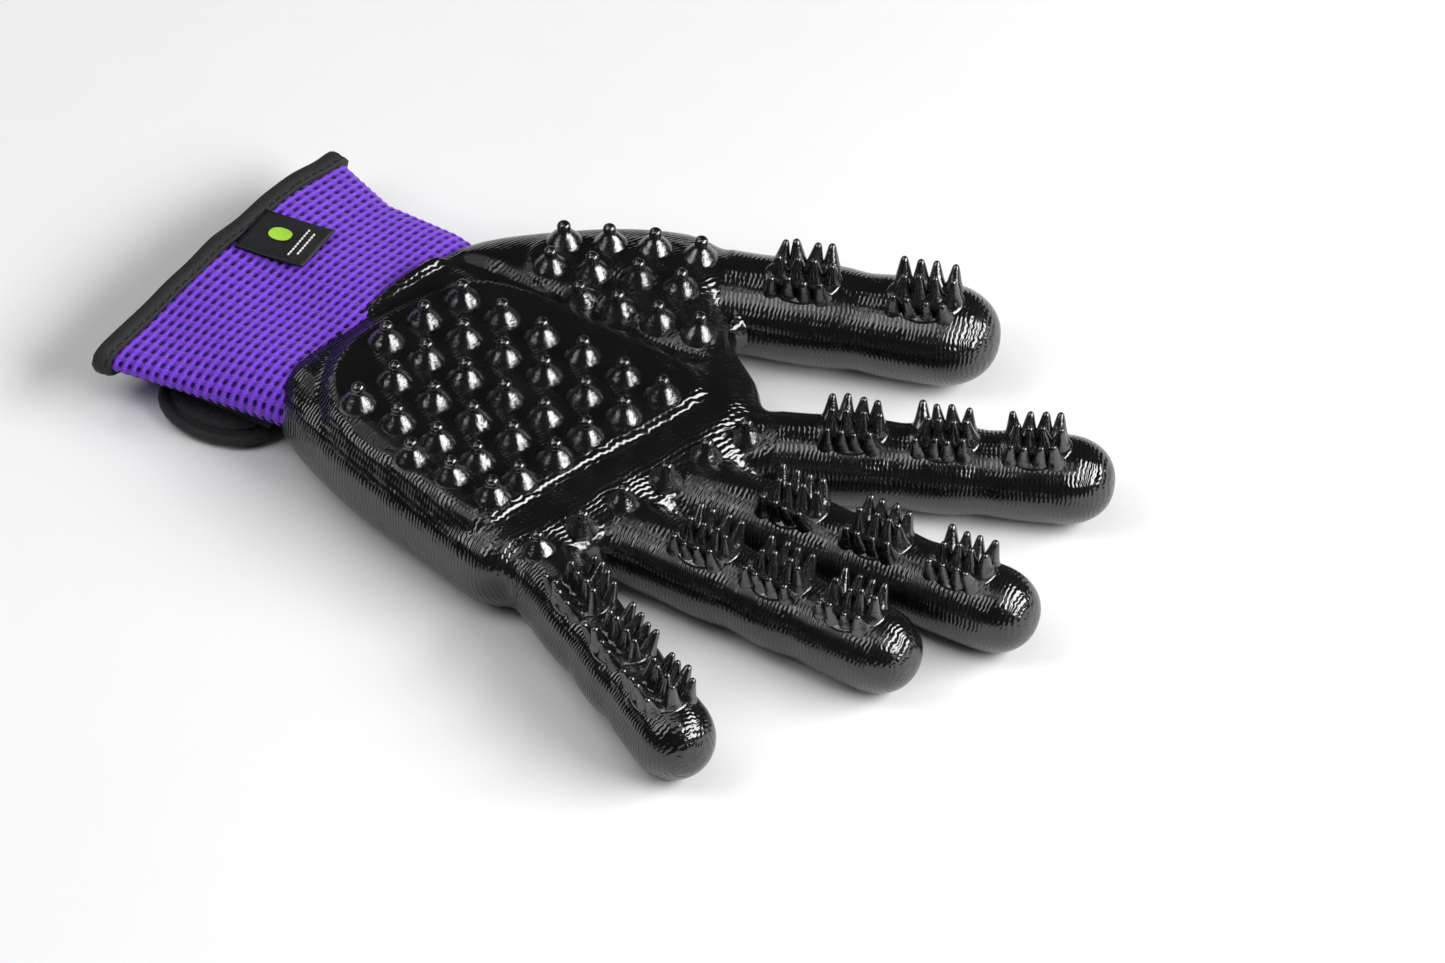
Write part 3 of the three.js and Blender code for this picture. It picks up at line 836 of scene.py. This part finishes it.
# a length of a finger's skin, its ends in millimetres from the root
def tube(plan, start, end):
    bm = bmesh.new()
    layer = bm.loops.layers.uv.new("coat")
    count = max(2, round((end - start) / fingerSkin["ringSpacing"]))
    stops = [start + (end - start) * step / count for step in range(count + 1)]
    atTip = end >= plan["reach"] - 0.01
    if atTip:  # rings crowd towards the tip so that it stays round
        nose, last = plan["width"] * fingerSkin["nose"], fingerSkin["noseRings"]
        stops = [stop for stop in stops if stop < plan["reach"] - nose]
        stops += [plan["reach"] - nose * (1 - math.sin(step / last * math.pi / 2))
                  for step in range(last)]
    rings = []
    around = fingerSkin["segments"]
    for stop in stops:
        rings.append([bm.verts.new(fingerSurface(plan, stop, 2 * math.pi * turn / around)[0])
                      for turn in range(around)])
    for first, second in zip(rings, rings[1:]):
        ringFaces(bm, first, second)
    if atTip:
        pole = bm.verts.new(plan["root"] + plan["along"] * plan["reach"] * mm)
        for a, b in zip(rings[-1], rings[-1][1:] + rings[-1][:1]):
            bm.faces.new((a, b, pole))
    bmesh.ops.recalc_face_normals(bm, faces=bm.faces)
    girthCm = math.pi * (plan["width"] + plan["height"]) / 2 / 10
    for face in bm.faces:
        turns = []
        for loop in face.loops:
            offset = loop.vert.co - plan["root"]
            turn = math.atan2(offset.dot(up) / plan["height"], offset.dot(plan["side"]) / plan["width"])
            turns.append(turn / (2 * math.pi))
        if max(turns) - min(turns) > 0.5:
            turns = [turn + 1 if turn < 0 else turn for turn in turns]
        for loop, turn in zip(face.loops, turns):
            offset = loop.vert.co - plan["root"]
            loop[layer].uv = (offset.dot(plan["along"]) / mm / 10, turn * girthCm)
    if bm.faces and sum(face.normal.dot(face.calc_center_median() - plan["root"] - plan["along"]
                        * (face.calc_center_median() - plan["root"]).dot(plan["along"]))
                        for face in bm.faces) < 0:
        bmesh.ops.reverse_faces(bm, faces=bm.faces)
    return bm


# skin in lengths that meet halfway between creases, one crease in each
def makeFinger(plan):
    name, creases, bodies = plan["name"], plan["creases"], plan["bodies"]
    parts = ["base", "tip"] if name == "thumb" else ["proximal", "middle", "tip"]
    cuts = [creases[0] - blendBefore - 8]
    cuts += [(a + b) / 2 for a, b in zip(creases, creases[1:])] + [plan["reach"]]
    for place, part in enumerate(parts):
        piece = newPiece(f"{name}Skin{part.capitalize()}", tube(plan, cuts[place], cuts[place + 1]),
                         rubberCoat, clean=False)
        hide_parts(f"{name}_{part}")
        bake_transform(piece)


for plan in plans.values():
    makeFinger(plan)
print("fingers ready")


nub = {
    "profile": [(5.3, -0.9), (5.0, 0.05), (4.7, 0.55), (4.0, 1.4), (3.3, 2.25), (2.65, 3.0),
                (2.15, 3.6), (1.82, 4.1), (1.68, 4.5), (1.84, 4.85), (1.88, 5.3), (1.7, 5.9),
                (1.3, 6.35), (0.75, 6.65), (0, 6.75)],
    "segments": 24,
    "stray": 0.25,  # how far each may stand from its place
    "upright": 1.5,
    "lean": 0.06,
    "sizes": (0.97, 1.03),
}
spike = {
    "profile": [(3.0, -0.9), (2.7, 0.05), (2.35, 0.7), (2.05, 1.6), (1.75, 2.8), (1.45, 4.0), (1.2, 5.0),
                (1.02, 5.7), (0.78, 6.2), (0.42, 6.5), (0, 6.6)],
    "segments": 12,
    "rows": 3,
    "perRow": 4,
    "margin": (3.3, 2.4),  # from the pad's edge to the first spike's middle, along and across
    "stray": 0.2,
    "upright": 0.15,
    "lean": 0.15,
    "sizes": (0.92, 1.06),
    "web": ((1.04, -0.5), (1.0, 0.1), (0.93, 0.3), (0.6, 0.4), (0.3, 0.42)),  # reach and height
    "webSegments": 32,
}
nubTemplate = turnedTemplate("nubTemplate", nub["profile"], nub["segments"])
spikeTemplate = turnedTemplate("spikeTemplate", spike["profile"], spike["segments"])
rng = random.Random(7)


def strayBy(most):
    return rng.uniform(-most, most)


def scatterNubs(name, places, node, size=1.0):
    bm = bmesh.new()
    for x, y in places:
        place, normal = onPalm(x + strayBy(nub["stray"]), y + strayBy(nub["stray"]))
        lean = normal + up * nub["upright"] + Vector((strayBy(1), strayBy(1), 0)) * nub["lean"]
        grow = size * rng.uniform(*nub["sizes"])
        addFrom(bm, nubTemplate, towards(place, lean.normalized()) @ Matrix.Scale(grow, 4))
    piece = newPiece(name, bm, rubberNubs, clean=False)
    return stands(piece, "palm", "rubber", node)


# places in a straight row
def rowOf(start, step, count):
    return [(start[0] + step[0] * place, start[1] + step[1] * place) for place in range(count)]


def makeNubs():
    palmPlaces = [spot for start, count in nubRows for spot in rowOf(start, nubPitch, count)]
    scatterNubs("palmNubs", palmPlaces, "palm_nub_pad")
    thumbPlaces = [spot for start, step in thumbRows for spot in rowOf(start, step, 4)]
    scatterNubs("thumbNubs", thumbPlaces, "thumb_nub_pad", 0.97)
    scatterNubs("knuckleNubs", rowOf(*knuckleRow), "knuckle_nub_strip", 0.92)


# rows of spikes, their flared feet touching, on a thin oval web
def spikePad(plan, part, middle, size, body):
    half = (size[0] / 2 + 0.4, size[1] / 2 + 0.4)
    bm = bmesh.new()
    rings = []
    for reach, lift in spike["web"]:
        ring = []
        for turn in range(spike["webSegments"]):
            angle = 2 * math.pi * turn / spike["webSegments"]
            across = half[1] * reach * math.sin(angle)
            tilt = math.acos(min(max(across / (plan["width"] / 2), -1), 1))
            place, outwards = fingerSurface(plan, middle + half[0] * reach * math.cos(angle), tilt)
            ring.append(bm.verts.new(place + outwards * lift * mm))
        rings.append(ring)
    for first, second in zip(rings, rings[1:]):
        ringFaces(bm, first, second)
    bm.faces.new(rings[-1])
    bmesh.ops.recalc_face_normals(bm, faces=bm.faces)
    if sum(face.normal.z for face in bm.faces) < 0:
        bmesh.ops.reverse_faces(bm, faces=bm.faces)
    for row in range(spike["rows"]):
        across = (row / (spike["rows"] - 1) - 0.5) * (size[1] - 2 * spike["margin"][1])
        tilt = math.acos(across / (plan["width"] / 2))
        for place in range(spike["perRow"]):
            share = place / (spike["perRow"] - 1) - 0.5 + (0.06 if row == 1 else -0.03)
            along = middle + share * (size[0] - 2 * spike["margin"][0]) + strayBy(spike["stray"])
            foot, outwards = fingerSurface(plan, along, tilt)
            lean = outwards + up * spike["upright"] + Vector((strayBy(1), strayBy(1), 0)) * spike["lean"]
            grow = rng.uniform(*spike["sizes"])
            addFrom(bm, spikeTemplate, towards(foot + outwards * 0.2 * mm, lean.normalized())
                    @ Matrix.Scale(grow, 4))
    piece = newPiece(f"{plan['name']}Spikes{part.capitalize()}", bm, rubberNubs, clean=False)
    stands(piece, body, "rubber", f"{plan['name']}_{part}_spikes")


def makeSpikes():
    for plan in plans.values():
        parts = ["base", "tip"] if plan["name"] == "thumb" else ["proximal", "middle", "tip"]
        for place, part in enumerate(parts):
            spans = spanAlong(f"{plan['name']}_{part}_spikes", plan["along"])
            middle = (sum(spans) / 2 - plan["root"].dot(plan["along"])) / mm
            size = [(high - low) / mm for low, high in (
                spans, spanAlong(f"{plan['name']}_{part}_spikes", plan["side"]))]
            spikePad(plan, part, middle, size, plan["bodies"][place + 1])


makeNubs()
makeSpikes()
print("nubs and spikes ready")


# an outline moved in along its own normals
def insetCurve(outline, inset):
    count = len(outline)
    result = []
    for place in range(count):
        ax, ay = outline[place - 1]
        bx, by = outline[(place + 1) % count]
        length = math.hypot(bx - ax, by - ay)
        x, y = outline[place]
        result.append((x - (by - ay) / length * inset, y + (bx - ax) / length * inset))
    return result


def makeBackPanel():
    line = insetCurve(palmCurve, palm["backInset"] - 0.8)
    bm = bmesh.new()
    panel = bm.faces.new([bm.verts.new(hand(x, y, 0.5)) for x, y in line])
    for thickness, depth in ((1.5, -0.15), (6, -0.1)):
        bmesh.ops.inset_region(bm, faces=[panel], thickness=thickness * mm, depth=depth * mm)
    bmesh.ops.solidify(bm, geom=bm.faces[:], thickness=-1.2 * mm)
    stands(newPiece("backPanel", bm, violetKnit), "palm", "knit", "back_panel")
    bm = bmesh.new()
    rim = [hand(x, y, 1.1) for x, y in insetCurve(palmCurve, palm["backInset"] - 0.4)]
    stops = []
    for place, point in enumerate(rim):
        run = (rim[(place + 1) % len(rim)] - rim[place - 1]).normalized()
        stops.append((point, run.cross(up), up))
    sweep(bm, roundedProfile(3.0, 2.2, 1.0), stops, closed=True)
    uvFrom(bm, palmUv)
    stands(newPiece("coatEdge", bm, rubberCoat), "palm", "rubber")


makeBackPanel()
print("back ready")


cuff = {
    "hem": -101,
    "slant": 0.098,
    "stations": [(-104, 17, 51, 7.6, 19), (-78, 13, 44, 7.2, 21.5), (-55, 13.5, 42, 5.5, 24),
                 (-34, 12, 39, 4.6, 24)],
    "squareness": 2.6,
    "columns": 54,
    "rows": 21,
    "wall": 2.0,
    "liningInset": 2.5,
    "strands": ((0, 0), (0.27, 0.05), (0.73, -0.05)),  # lines in a row, and how far each waves
    "parts": ((0, 0), (0.24, 1), (0.5, -1), (0.76, 1)),  # places in a cell, and which way each waves
    "pitRim": 0.15,
    "pitDepth": 0.8,
    "hub": (-75, 14, 14),  # a place inside the cuff
    "palmEnd": -46,
    "slit": {"y": 37, "width": 7, "end": -58},
}


# the cuff's middle, half width, lowest and highest at a place along it
def cuffStation(x):
    stations = cuff["stations"]
    place = min(max(next((n for n, s in enumerate(stations) if s[0] >= x), len(stations) - 1), 1),
                len(stations) - 1)
    a, b = stations[place - 1], stations[place]
    part = (x - a[0]) / (b[0] - a[0])
    return [a[n] + (b[n] - a[n]) * part for n in range(1, 5)]


# a place on the cuff: x along it at its middle, turn round it from 0 to 1
def cuffPoint(x, turn, inset=0.0):
    middle, halfWidth, low, high = cuffStation(x)
    angle = 2 * math.pi * turn
    power = 2 / cuff["squareness"]
    across = math.copysign(abs(math.cos(angle)) ** power, math.cos(angle))
    rise = math.copysign(abs(math.sin(angle)) ** power, math.sin(angle))
    y = (halfWidth - inset) * across
    z = ((high - low) / 2 - inset) * rise
    hemward = smoothStep(-60, -104, x)
    if rise > 0:  # the cloth bulges and ripples a little on top
        z += rise * (1.2 * math.sin(y * 0.075 + 0.9) * hemward + 0.5 * math.sin(y * 0.16 + x * 0.09))
    return hand(x + cuff["slant"] * y, middle + y, (high + low) / 2 + z)


# turns that are evenly spaced round the cuff's girth
def evenTurns(x, count):
    fine = 720
    points = [cuffPoint(x, step / fine) for step in range(fine + 1)]
    lengths = [0.0]
    for a, b in zip(points, points[1:]):
        lengths.append(lengths[-1] + (b - a).length)
    turns, place = [], 0
    for step in range(count):
        wanted = lengths[-1] * step / count
        while lengths[place + 1] < wanted:
            place += 1
        part = (wanted - lengths[place]) / (lengths[place + 1] - lengths[place])
        turns.append((place + part) / fine)
    return turns


# whether a place is in the slit, its width changed by a margin in millimetres
def inSlit(place, margin=0.0):
    x, y, z = (place - padMiddle) / mm
    slit = cuff["slit"]
    half = slit["width"] / 2 + margin
    if z > 12 or abs(y - slit["y"]) > half:
        return False
    nose = slit["end"] - slit["width"] / 2
    return x < nose or math.hypot(x - nose, y - slit["y"]) < half


# turns the faces away from a place inside the cuff
def faceOut(bm, hub):
    if sum(face.normal.dot(face.calc_center_median() - hub) for face in bm.faces) < 0:
        bmesh.ops.reverse_faces(bm, faces=bm.faces)


# a grid of cells, each with an oval pit between raised strands
def makeCuffMesh(start, end):
    bm = bmesh.new()
    layer = bm.loops.layers.uv.new("cells")
    columns, rows = cuff["columns"], cuff["rows"]
    starts = evenTurns((start + end) / 2, columns) + [1.0]
    pitch = (end - start) / rows
    spots, rings, pits = {}, [], []
    for row in range(rows):
        for line, narrow in cuff["strands"]:
            ring = []
            for column in range(columns):
                for part, shift in cuff["parts"]:
                    turn = starts[column] + (starts[column + 1] - starts[column]) * part
                    across = row + line + narrow * shift
                    lift = -0.22 if line == 0 else 0.0
                    corner = bm.verts.new(cuffPoint(start + across * pitch, turn, 0.1 + lift))
                    spots[corner] = (across, column + part)
                    ring.append(corner)
            rings.append(ring)
    last = []
    for column in range(columns):
        for part, _ in cuff["parts"]:
            turn = starts[column] + (starts[column + 1] - starts[column]) * part
            corner = bm.verts.new(cuffPoint(end, turn))
            spots[corner] = (rows, column + part)
            last.append(corner)
    rings.append(last)
    for first, second in zip(rings, rings[1:]):
        ringFaces(bm, first, second)
    bmesh.ops.recalc_face_normals(bm, faces=bm.faces)
    faceOut(bm, hand(*cuff["hub"]))
    for face in bm.faces:
        places = [spots[loop.vert] for loop in face.loops]
        wraps = max(v for _, v in places) - min(v for _, v in places) > columns / 2
        for loop, (u, v) in zip(face.loops, places):
            loop[layer].uv = (u, v + columns if wraps and v < columns / 2 else v)
        u = sum(place[0] for place in places) / 4 % 1
        v = sum(place[1] for place in places) / 4 % 1
        if not wraps and 0.35 < u < 0.65 and 0.3 < v < 0.7:
            pits.append(face)
    gap = [face for face in bm.faces if inSlit(face.calc_center_median(), -0.6)]
    pits = [face for face in pits if face not in set(gap)]
    bmesh.ops.delete(bm, geom=gap, context="FACES")
    walls = bmesh.ops.inset_region(bm, faces=pits, thickness=cuff["pitRim"] * mm,
                                   depth=-cuff["pitDepth"] * mm, use_even_offset=True)["faces"]
    # the pits and their walls take the dark hole cloth, painted shade in the holes
    for face in pits + walls:
        face.material_index = 1
    return bm


# a smooth tube of knit inside the mesh
def makeCuffLining(start, end):
    bm = bmesh.new()
    turns = evenTurns((start + end) / 2, 90)
    rings = []
    for row in range(13):
        x = start + (end - start) * row / 12
        rings.append([bm.verts.new(cuffPoint(x, turn, cuff["liningInset"])) for turn in turns])
    for first, second in zip(rings, rings[1:]):
        ringFaces(bm, first, second)
    bmesh.ops.recalc_face_normals(bm, faces=bm.faces)
    faceOut(bm, hand(*cuff["hub"]))
    gap = [face for face in bm.faces if inSlit(face.calc_center_median(), -0.4)]
    bmesh.ops.delete(bm, geom=gap, context="FACES")
    bmesh.ops.solidify(bm, geom=bm.faces[:], thickness=0.5 * mm)
    return bm


def makeCuff():
    start, end = cuff["hem"] + 1, cuff["palmEnd"]
    stands(newPiece("cuffMesh", makeCuffMesh(start, end), [meshThread, meshHolePaintedShade], clean=False),
           "palm", "air_mesh", "cuff_mesh")
    stands(newPiece("cuffLining", makeCuffLining(start, end), violetKnit), "palm", "knit")


# stops for a tape that wraps an edge: sideways along the cuff, outwards from its middle
def bindingStops(points, hub):
    stops = []
    for place, point in enumerate(points):
        run = (points[(place + 1) % len(points)] - points[place - 1]).normalized()
        sideways = Vector((1, 0, 0))
        outwards = run.cross(sideways).normalized()
        if outwards.dot(point - hub) < 0:
            outwards.negate()
        stops.append((point, sideways, outwards))
    return stops


hem = {
    "rings": 150,
    "profile": [(2.6, 1.7), (2.4, 2.25), (1.9, 2.3), (1.55, 1.95), (1.2, 2.35), (0, 2.65), (-1.4, 2.6),
                (-2.4, 2.2), (-2.9, 1.2), (-3.05, 0), (-2.9, -1.2), (-2.4, -2.0), (2.2, -1.9),
                (2.6, -1.4)],
    "stitchSpacing": 3.1,
}


def makeHem():
    x = cuff["hem"]
    hub = hand(x, 17, 13)
    count = hem["rings"]
    points = [cuffPoint(x, turn, cuff["wall"] / 2) for turn in evenTurns(x, count)]
    kept = [place for place in range(count) if not inSlit(points[place], 0.6)]
    first = next(place for place in range(count) if place in kept and (place - 1) % count not in kept)
    order = [(first + step) % count for step in range(len(kept))]
    stops = bindingStops(points, hub)
    stops = [stops[place] for place in order]
    for place, (point, sideways, outwards) in enumerate(stops):
        point += (sideways * 0.25 * mm * math.sin(place * 0.31)
                  + outwards * 0.2 * mm * math.sin(place * 0.47))
    bm = bmesh.new()
    sweep(bm, hem["profile"], stops, closed=False)
    stands(newPiece("hemBinding", bm, blackTape), "palm", "binding", "hem_binding")
    bm = bmesh.new()
    line = [point + sideways * 1.55 * mm + outwards * 2.15 * mm for point, sideways, outwards in stops]
    stitches = [(spot, run, (spot - hub).cross(run).cross(run) * -1)
                for spot, run in evenly(line, hem["stitchSpacing"], closed=False)]
    stitchRow(bm, stitches, (2.1, 0.6))
    stands(newPiece("hemStitches", bm, blackThread, clean=False), "palm", "binding")


def makeSlitBinding():
    slit = cuff["slit"]
    half = slit["width"] / 2 - 0.2
    nose = slit["end"] - slit["width"] / 2
    straight = (-97, -90, -82, -74, -68)
    line = [(x, slit["y"] - half) for x in straight]
    for turn in range(0, 181, 20):
        angle = math.radians(turn)
        line.append((nose + half * math.sin(angle), slit["y"] - half * math.cos(angle)))
    line += [(x, slit["y"] + half) for x in reversed(straight)]
    points = [hand(x, y, cuffStation(x)[2] + 0.9) for x, y in line]
    stops = []
    for place, point in enumerate(points):
        before, after = points[max(place - 1, 0)], points[min(place + 1, len(points) - 1)]
        stops.append((point, (after - before).normalized().cross(up), up))
    bm = bmesh.new()
    sweep(bm, roundedProfile(4.2, 3.6, 1.1), stops, closed=False)
    stands(newPiece("slitBinding", bm, blackTape), "palm", "binding", "slit_binding")


makeCuff()
makeHem()
makeSlitBinding()
print("cuff ready")


strapLow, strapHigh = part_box("strap_tape")
patchLow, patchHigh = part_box("strap_patch")
strap = {
    "middle": (strapLow.x + strapHigh.x) / 2,
    "half": (strapHigh.x - strapLow.x) / 2,
    "free": strapLow.y,
    "fold": strapHigh.y,
    "nose": 0.7,  # how long the round end is, in half widths
    "edging": (3.0, 3.0, 1.2),  # width, height and corner
    "hookInset": 2.6,
    "badgeInset": 2.2,
    "stitchInset": 4.2,
    "anchorStitchInset": (1.6, 1.4, 2.2),
}
stitchSize = (2.0, 0.6)


# square at the fold and round at the free end, in metres
def strapOutline(inset, fold, arc=14):
    half = strap["half"] - inset * mm
    nose = half * strap["nose"]
    centre = strap["free"] + inset * mm + nose
    sides = [fold - (fold - centre) * step / 12 for step in range(12)]
    line = [Vector((strap["middle"] - half, y, 0)) for y in sides]
    for step in range(arc + 1):
        angle = math.pi + math.pi * step / arc
        x, y = strap["middle"] + half * math.cos(angle), centre + nose * math.sin(angle)
        line.append(Vector((x, y, 0)))
    line += [Vector((strap["middle"] + half, y, 0)) for y in reversed(sides)]
    return line


# a flat plate with soft rims, its heights in metres
def raisedPlate(outline, low, high, edge, segments=2):
    bm = bmesh.new()
    start = [bm.verts.new(Vector((p.x, p.y, low))) for p in outline]
    base = bm.faces.new(start)
    raised = bmesh.ops.extrude_face_region(bm, geom=[base])["geom"]
    top = [item for item in raised if isinstance(item, bmesh.types.BMVert)]
    bmesh.ops.translate(bm, verts=top, vec=(0, 0, high - low))
    rims = [line for line in bm.edges if abs(line.verts[0].co.z - line.verts[1].co.z) < 1e-7]
    bmesh.ops.bevel(bm, geom=rims, offset=edge * mm, offset_type="OFFSET", segments=segments,
                    profile=0.5, affect="EDGES", material=-1)
    return bm


def makeStrap():
    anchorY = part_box("strap_anchor")[1].y
    outline = strapOutline(0, anchorY - 1 * mm)
    bm = raisedPlate(outline, strapLow.z, strapHigh.z, 0.5)
    tape = newPiece("strapTape", bm, blackTape)
    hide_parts("strap_tape")
    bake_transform(tape)
    halfway = (strapLow.z + strapHigh.z) / 2
    rim = [Vector((p.x, p.y, halfway)) for p in strapOutline(0.4, strap["fold"] - 4 * mm)]
    stops = []
    for place, point in enumerate(rim):
        before, after = rim[max(place - 1, 0)], rim[min(place + 1, len(rim) - 1)]
        stops.append((point, (after - before).normalized().cross(up), up))
    bm = bmesh.new()
    sweep(bm, roundedProfile(*strap["edging"]), stops, closed=False)
    stands(newPiece("strapEdging", bm, blackTape), "strap", "binding")
    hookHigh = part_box("hook_pad")[1]
    bm = raisedPlate(strapOutline(strap["hookInset"], hookHigh.y), strapHigh.z, hookHigh.z, 0.3)
    stands(newPiece("hookPad", bm, blackPile), "strap", "hook_and_loop", "hook_pad")
    bm = raisedPlate(strapOutline(strap["badgeInset"], patchHigh.y), patchLow.z + 0.35 * mm,
                     patchHigh.z, 0.5, 3)
    stands(newPiece("strapBadge", bm, badgeRubber), "strap", "badge", "strap_patch")
    bm = bmesh.new()
    line = [Vector((p.x, p.y, patchLow.z + 0.3 * mm))
            for p in strapOutline(strap["stitchInset"], patchHigh.y - 2 * mm)]
    stitchRow(bm, [(spot, run, -up) for spot, run in evenly(line, 2.9)], stitchSize)
    stands(newPiece("badgeStitches", bm, blackThread, clean=False), "strap", "badge")


emblem = {
    "height": 0.6,
    "ringAt": 24,  # from the strap's free end
    "ringRadius": 8,
    "ringWidth": 2.2,
    "dotRadius": 2.6,
    "bars": 5,
    "firstBar": 16,  # from the ring's middle
    "barPitch": 7.6,
    "barWidth": 2.6,
    "lean": 0.32,
}


# a ring with a dot in it and a row of leaning bars, raised on the badge
def makeEmblem():
    bm = bmesh.new()
    halfway = patchLow.z + emblem["height"] / 2 * mm
    ringY = strap["free"] + emblem["ringAt"] * mm
    centre = Vector((strap["middle"], ringY, halfway))
    stops = []
    for turn in range(48):
        angle = 2 * math.pi * turn / 48
        out = Vector((math.cos(angle), math.sin(angle), 0))
        stops.append((centre + out * emblem["ringRadius"] * mm, out, up))
    sweep(bm, roundedProfile(emblem["ringWidth"], emblem["height"], 0.25, 2), stops, closed=True)
    dot = Matrix.Translation(centre) @ Matrix.Diagonal((1, 1, 0.15, 1))
    bmesh.ops.create_uvsphere(bm, u_segments=24, v_segments=10, radius=emblem["dotRadius"] * mm,
                              matrix=dot)
    for place in range(emblem["bars"]):
        y = ringY + (emblem["firstBar"] + place * emblem["barPitch"]) * mm
        size = (11 * mm - abs(place - 2) * mm, emblem["barWidth"] * mm, emblem["height"] * mm, 1)
        matrix = (Matrix.Translation(Vector((strap["middle"], y, halfway)))
                  @ Matrix.Rotation(emblem["lean"], 4, "Z") @ Matrix.Diagonal(size))
        bar = bmesh.ops.create_cube(bm, size=1, matrix=matrix)["verts"]
        edges = {line for corner in bar for line in corner.link_edges}
        bmesh.ops.bevel(bm, geom=list(edges), offset=0.22 * mm, offset_type="OFFSET", segments=2,
                        profile=0.5, affect="EDGES", material=-1)
    stands(newPiece("badgeEmblem", bm, badgeViolet), "strap", "emblem", "patch_emblem")


# the four corners of a box from above, moved in by millimetres at its sides, near and far edges
def boxOutline(low, high, height=0.0, inset=(0, 0, 0)):
    side, near, far = (value * mm for value in inset)
    left, right, front, back = low.x + side, high.x - side, low.y + near, high.y - far
    return [Vector((left, front, height)), Vector((right, front, height)),
            Vector((right, back, height)), Vector((left, back, height))]


def makeAnchorAndLoops():
    low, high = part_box("strap_anchor")
    bm = raisedPlate(boxOutline(low, high), strapHigh.z, high.z, 0.6)
    stands(newPiece("strapAnchor", bm, blackTape), "palm", "binding", "strap_anchor")
    bm = bmesh.new()
    inner = boxOutline(low, high, strapLow.z, strap["anchorStitchInset"])
    stitchRow(bm, [(spot, run, -up) for spot, run in evenly(inner, 2.8)], stitchSize)
    stands(newPiece("anchorStitches", bm, blackThread, clean=False), "palm", "binding")
    low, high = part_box("loop_panel")
    bm = raisedPlate(boxOutline(low, high), low.z, low.z + 3 * mm, 0.5)
    stands(newPiece("loopPanel", bm, blackPile), "palm", "hook_and_loop", "loop_panel")


makeStrap()
makeEmblem()
makeAnchorAndLoops()
print("strap ready")


label = {
    "thickness": 0.7,
    "curl": 0.9,
    "rise": 0.9,
    "print": 0.45,  # how high the stitched marks lie
    "oval": ((9, 0.6), (3.4, 2.3)),  # middle and half sizes
    "lines": ((15.4, 5.4), (17.6, 4.2)),  # place and half length
    "stitchPitch": 1.1,
}


def makeLabel():
    low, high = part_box("hem_label")
    middleY = (low.y + high.y) / 2
    length, width = (high.x - low.x) / mm, (high.y - low.y) / mm
    rise = (high.z - low.z - 0.8 * mm) / (high.x - low.x)

    # a place on the label, in millimetres from the middle of its sewn edge
    def at(along, across, lift=0.0):
        wave = 0.3 * math.sin(across * 0.3) + label["curl"] * (along / length) ** 3 + label["rise"]
        return Vector((low.x + along * mm, middleY + across * mm,
                       low.z + rise * along * mm + (wave + lift) * mm))

    bm = bmesh.new()
    bmesh.ops.create_grid(bm, x_segments=16, y_segments=20, size=0.5)
    for corner in bm.verts:
        corner.co = at((corner.co.x + 0.5) * length, corner.co.y * width)
    bmesh.ops.solidify(bm, geom=bm.faces[:], thickness=label["thickness"] * mm)
    stands(newPiece("hemLabel", bm, labelSatin), "label_flap", "label", "hem_label")
    bm = bmesh.new()
    (along, across), (halfLong, halfWide) = label["oval"]
    corners = []
    for step in range(28):
        angle = 2 * math.pi * step / 28
        bulge = math.copysign(abs(math.sin(angle)) ** 0.8, math.sin(angle))
        corners.append(at(along + halfLong * math.cos(angle), across + halfWide * bulge, label["print"]))
    face = bm.faces.new([bm.verts.new(corner) for corner in corners])
    bmesh.ops.inset_region(bm, faces=[face], thickness=0.35 * mm, depth=0.15 * mm)
    stands(newPiece("labelLeaf", bm, labelGreen), "label_flap", "label")
    bm = bmesh.new()
    for along, half in label["lines"]:
        stitches = []
        for step in range(int(2 * half / label["stitchPitch"]) + 1):
            across = -half + step * label["stitchPitch"]
            stitches.append((at(along, across, label["print"]), Vector((0, 1, 0)), up))
        stitchRow(bm, stitches, (1.2, 0.7))
    stands(newPiece("labelLines", bm, labelWhite, clean=False), "label_flap", "label")


makeLabel()
print("label ready")

for template in (nubTemplate, spikeTemplate):
    bpy.data.meshes.remove(template)

print("all pieces ready")
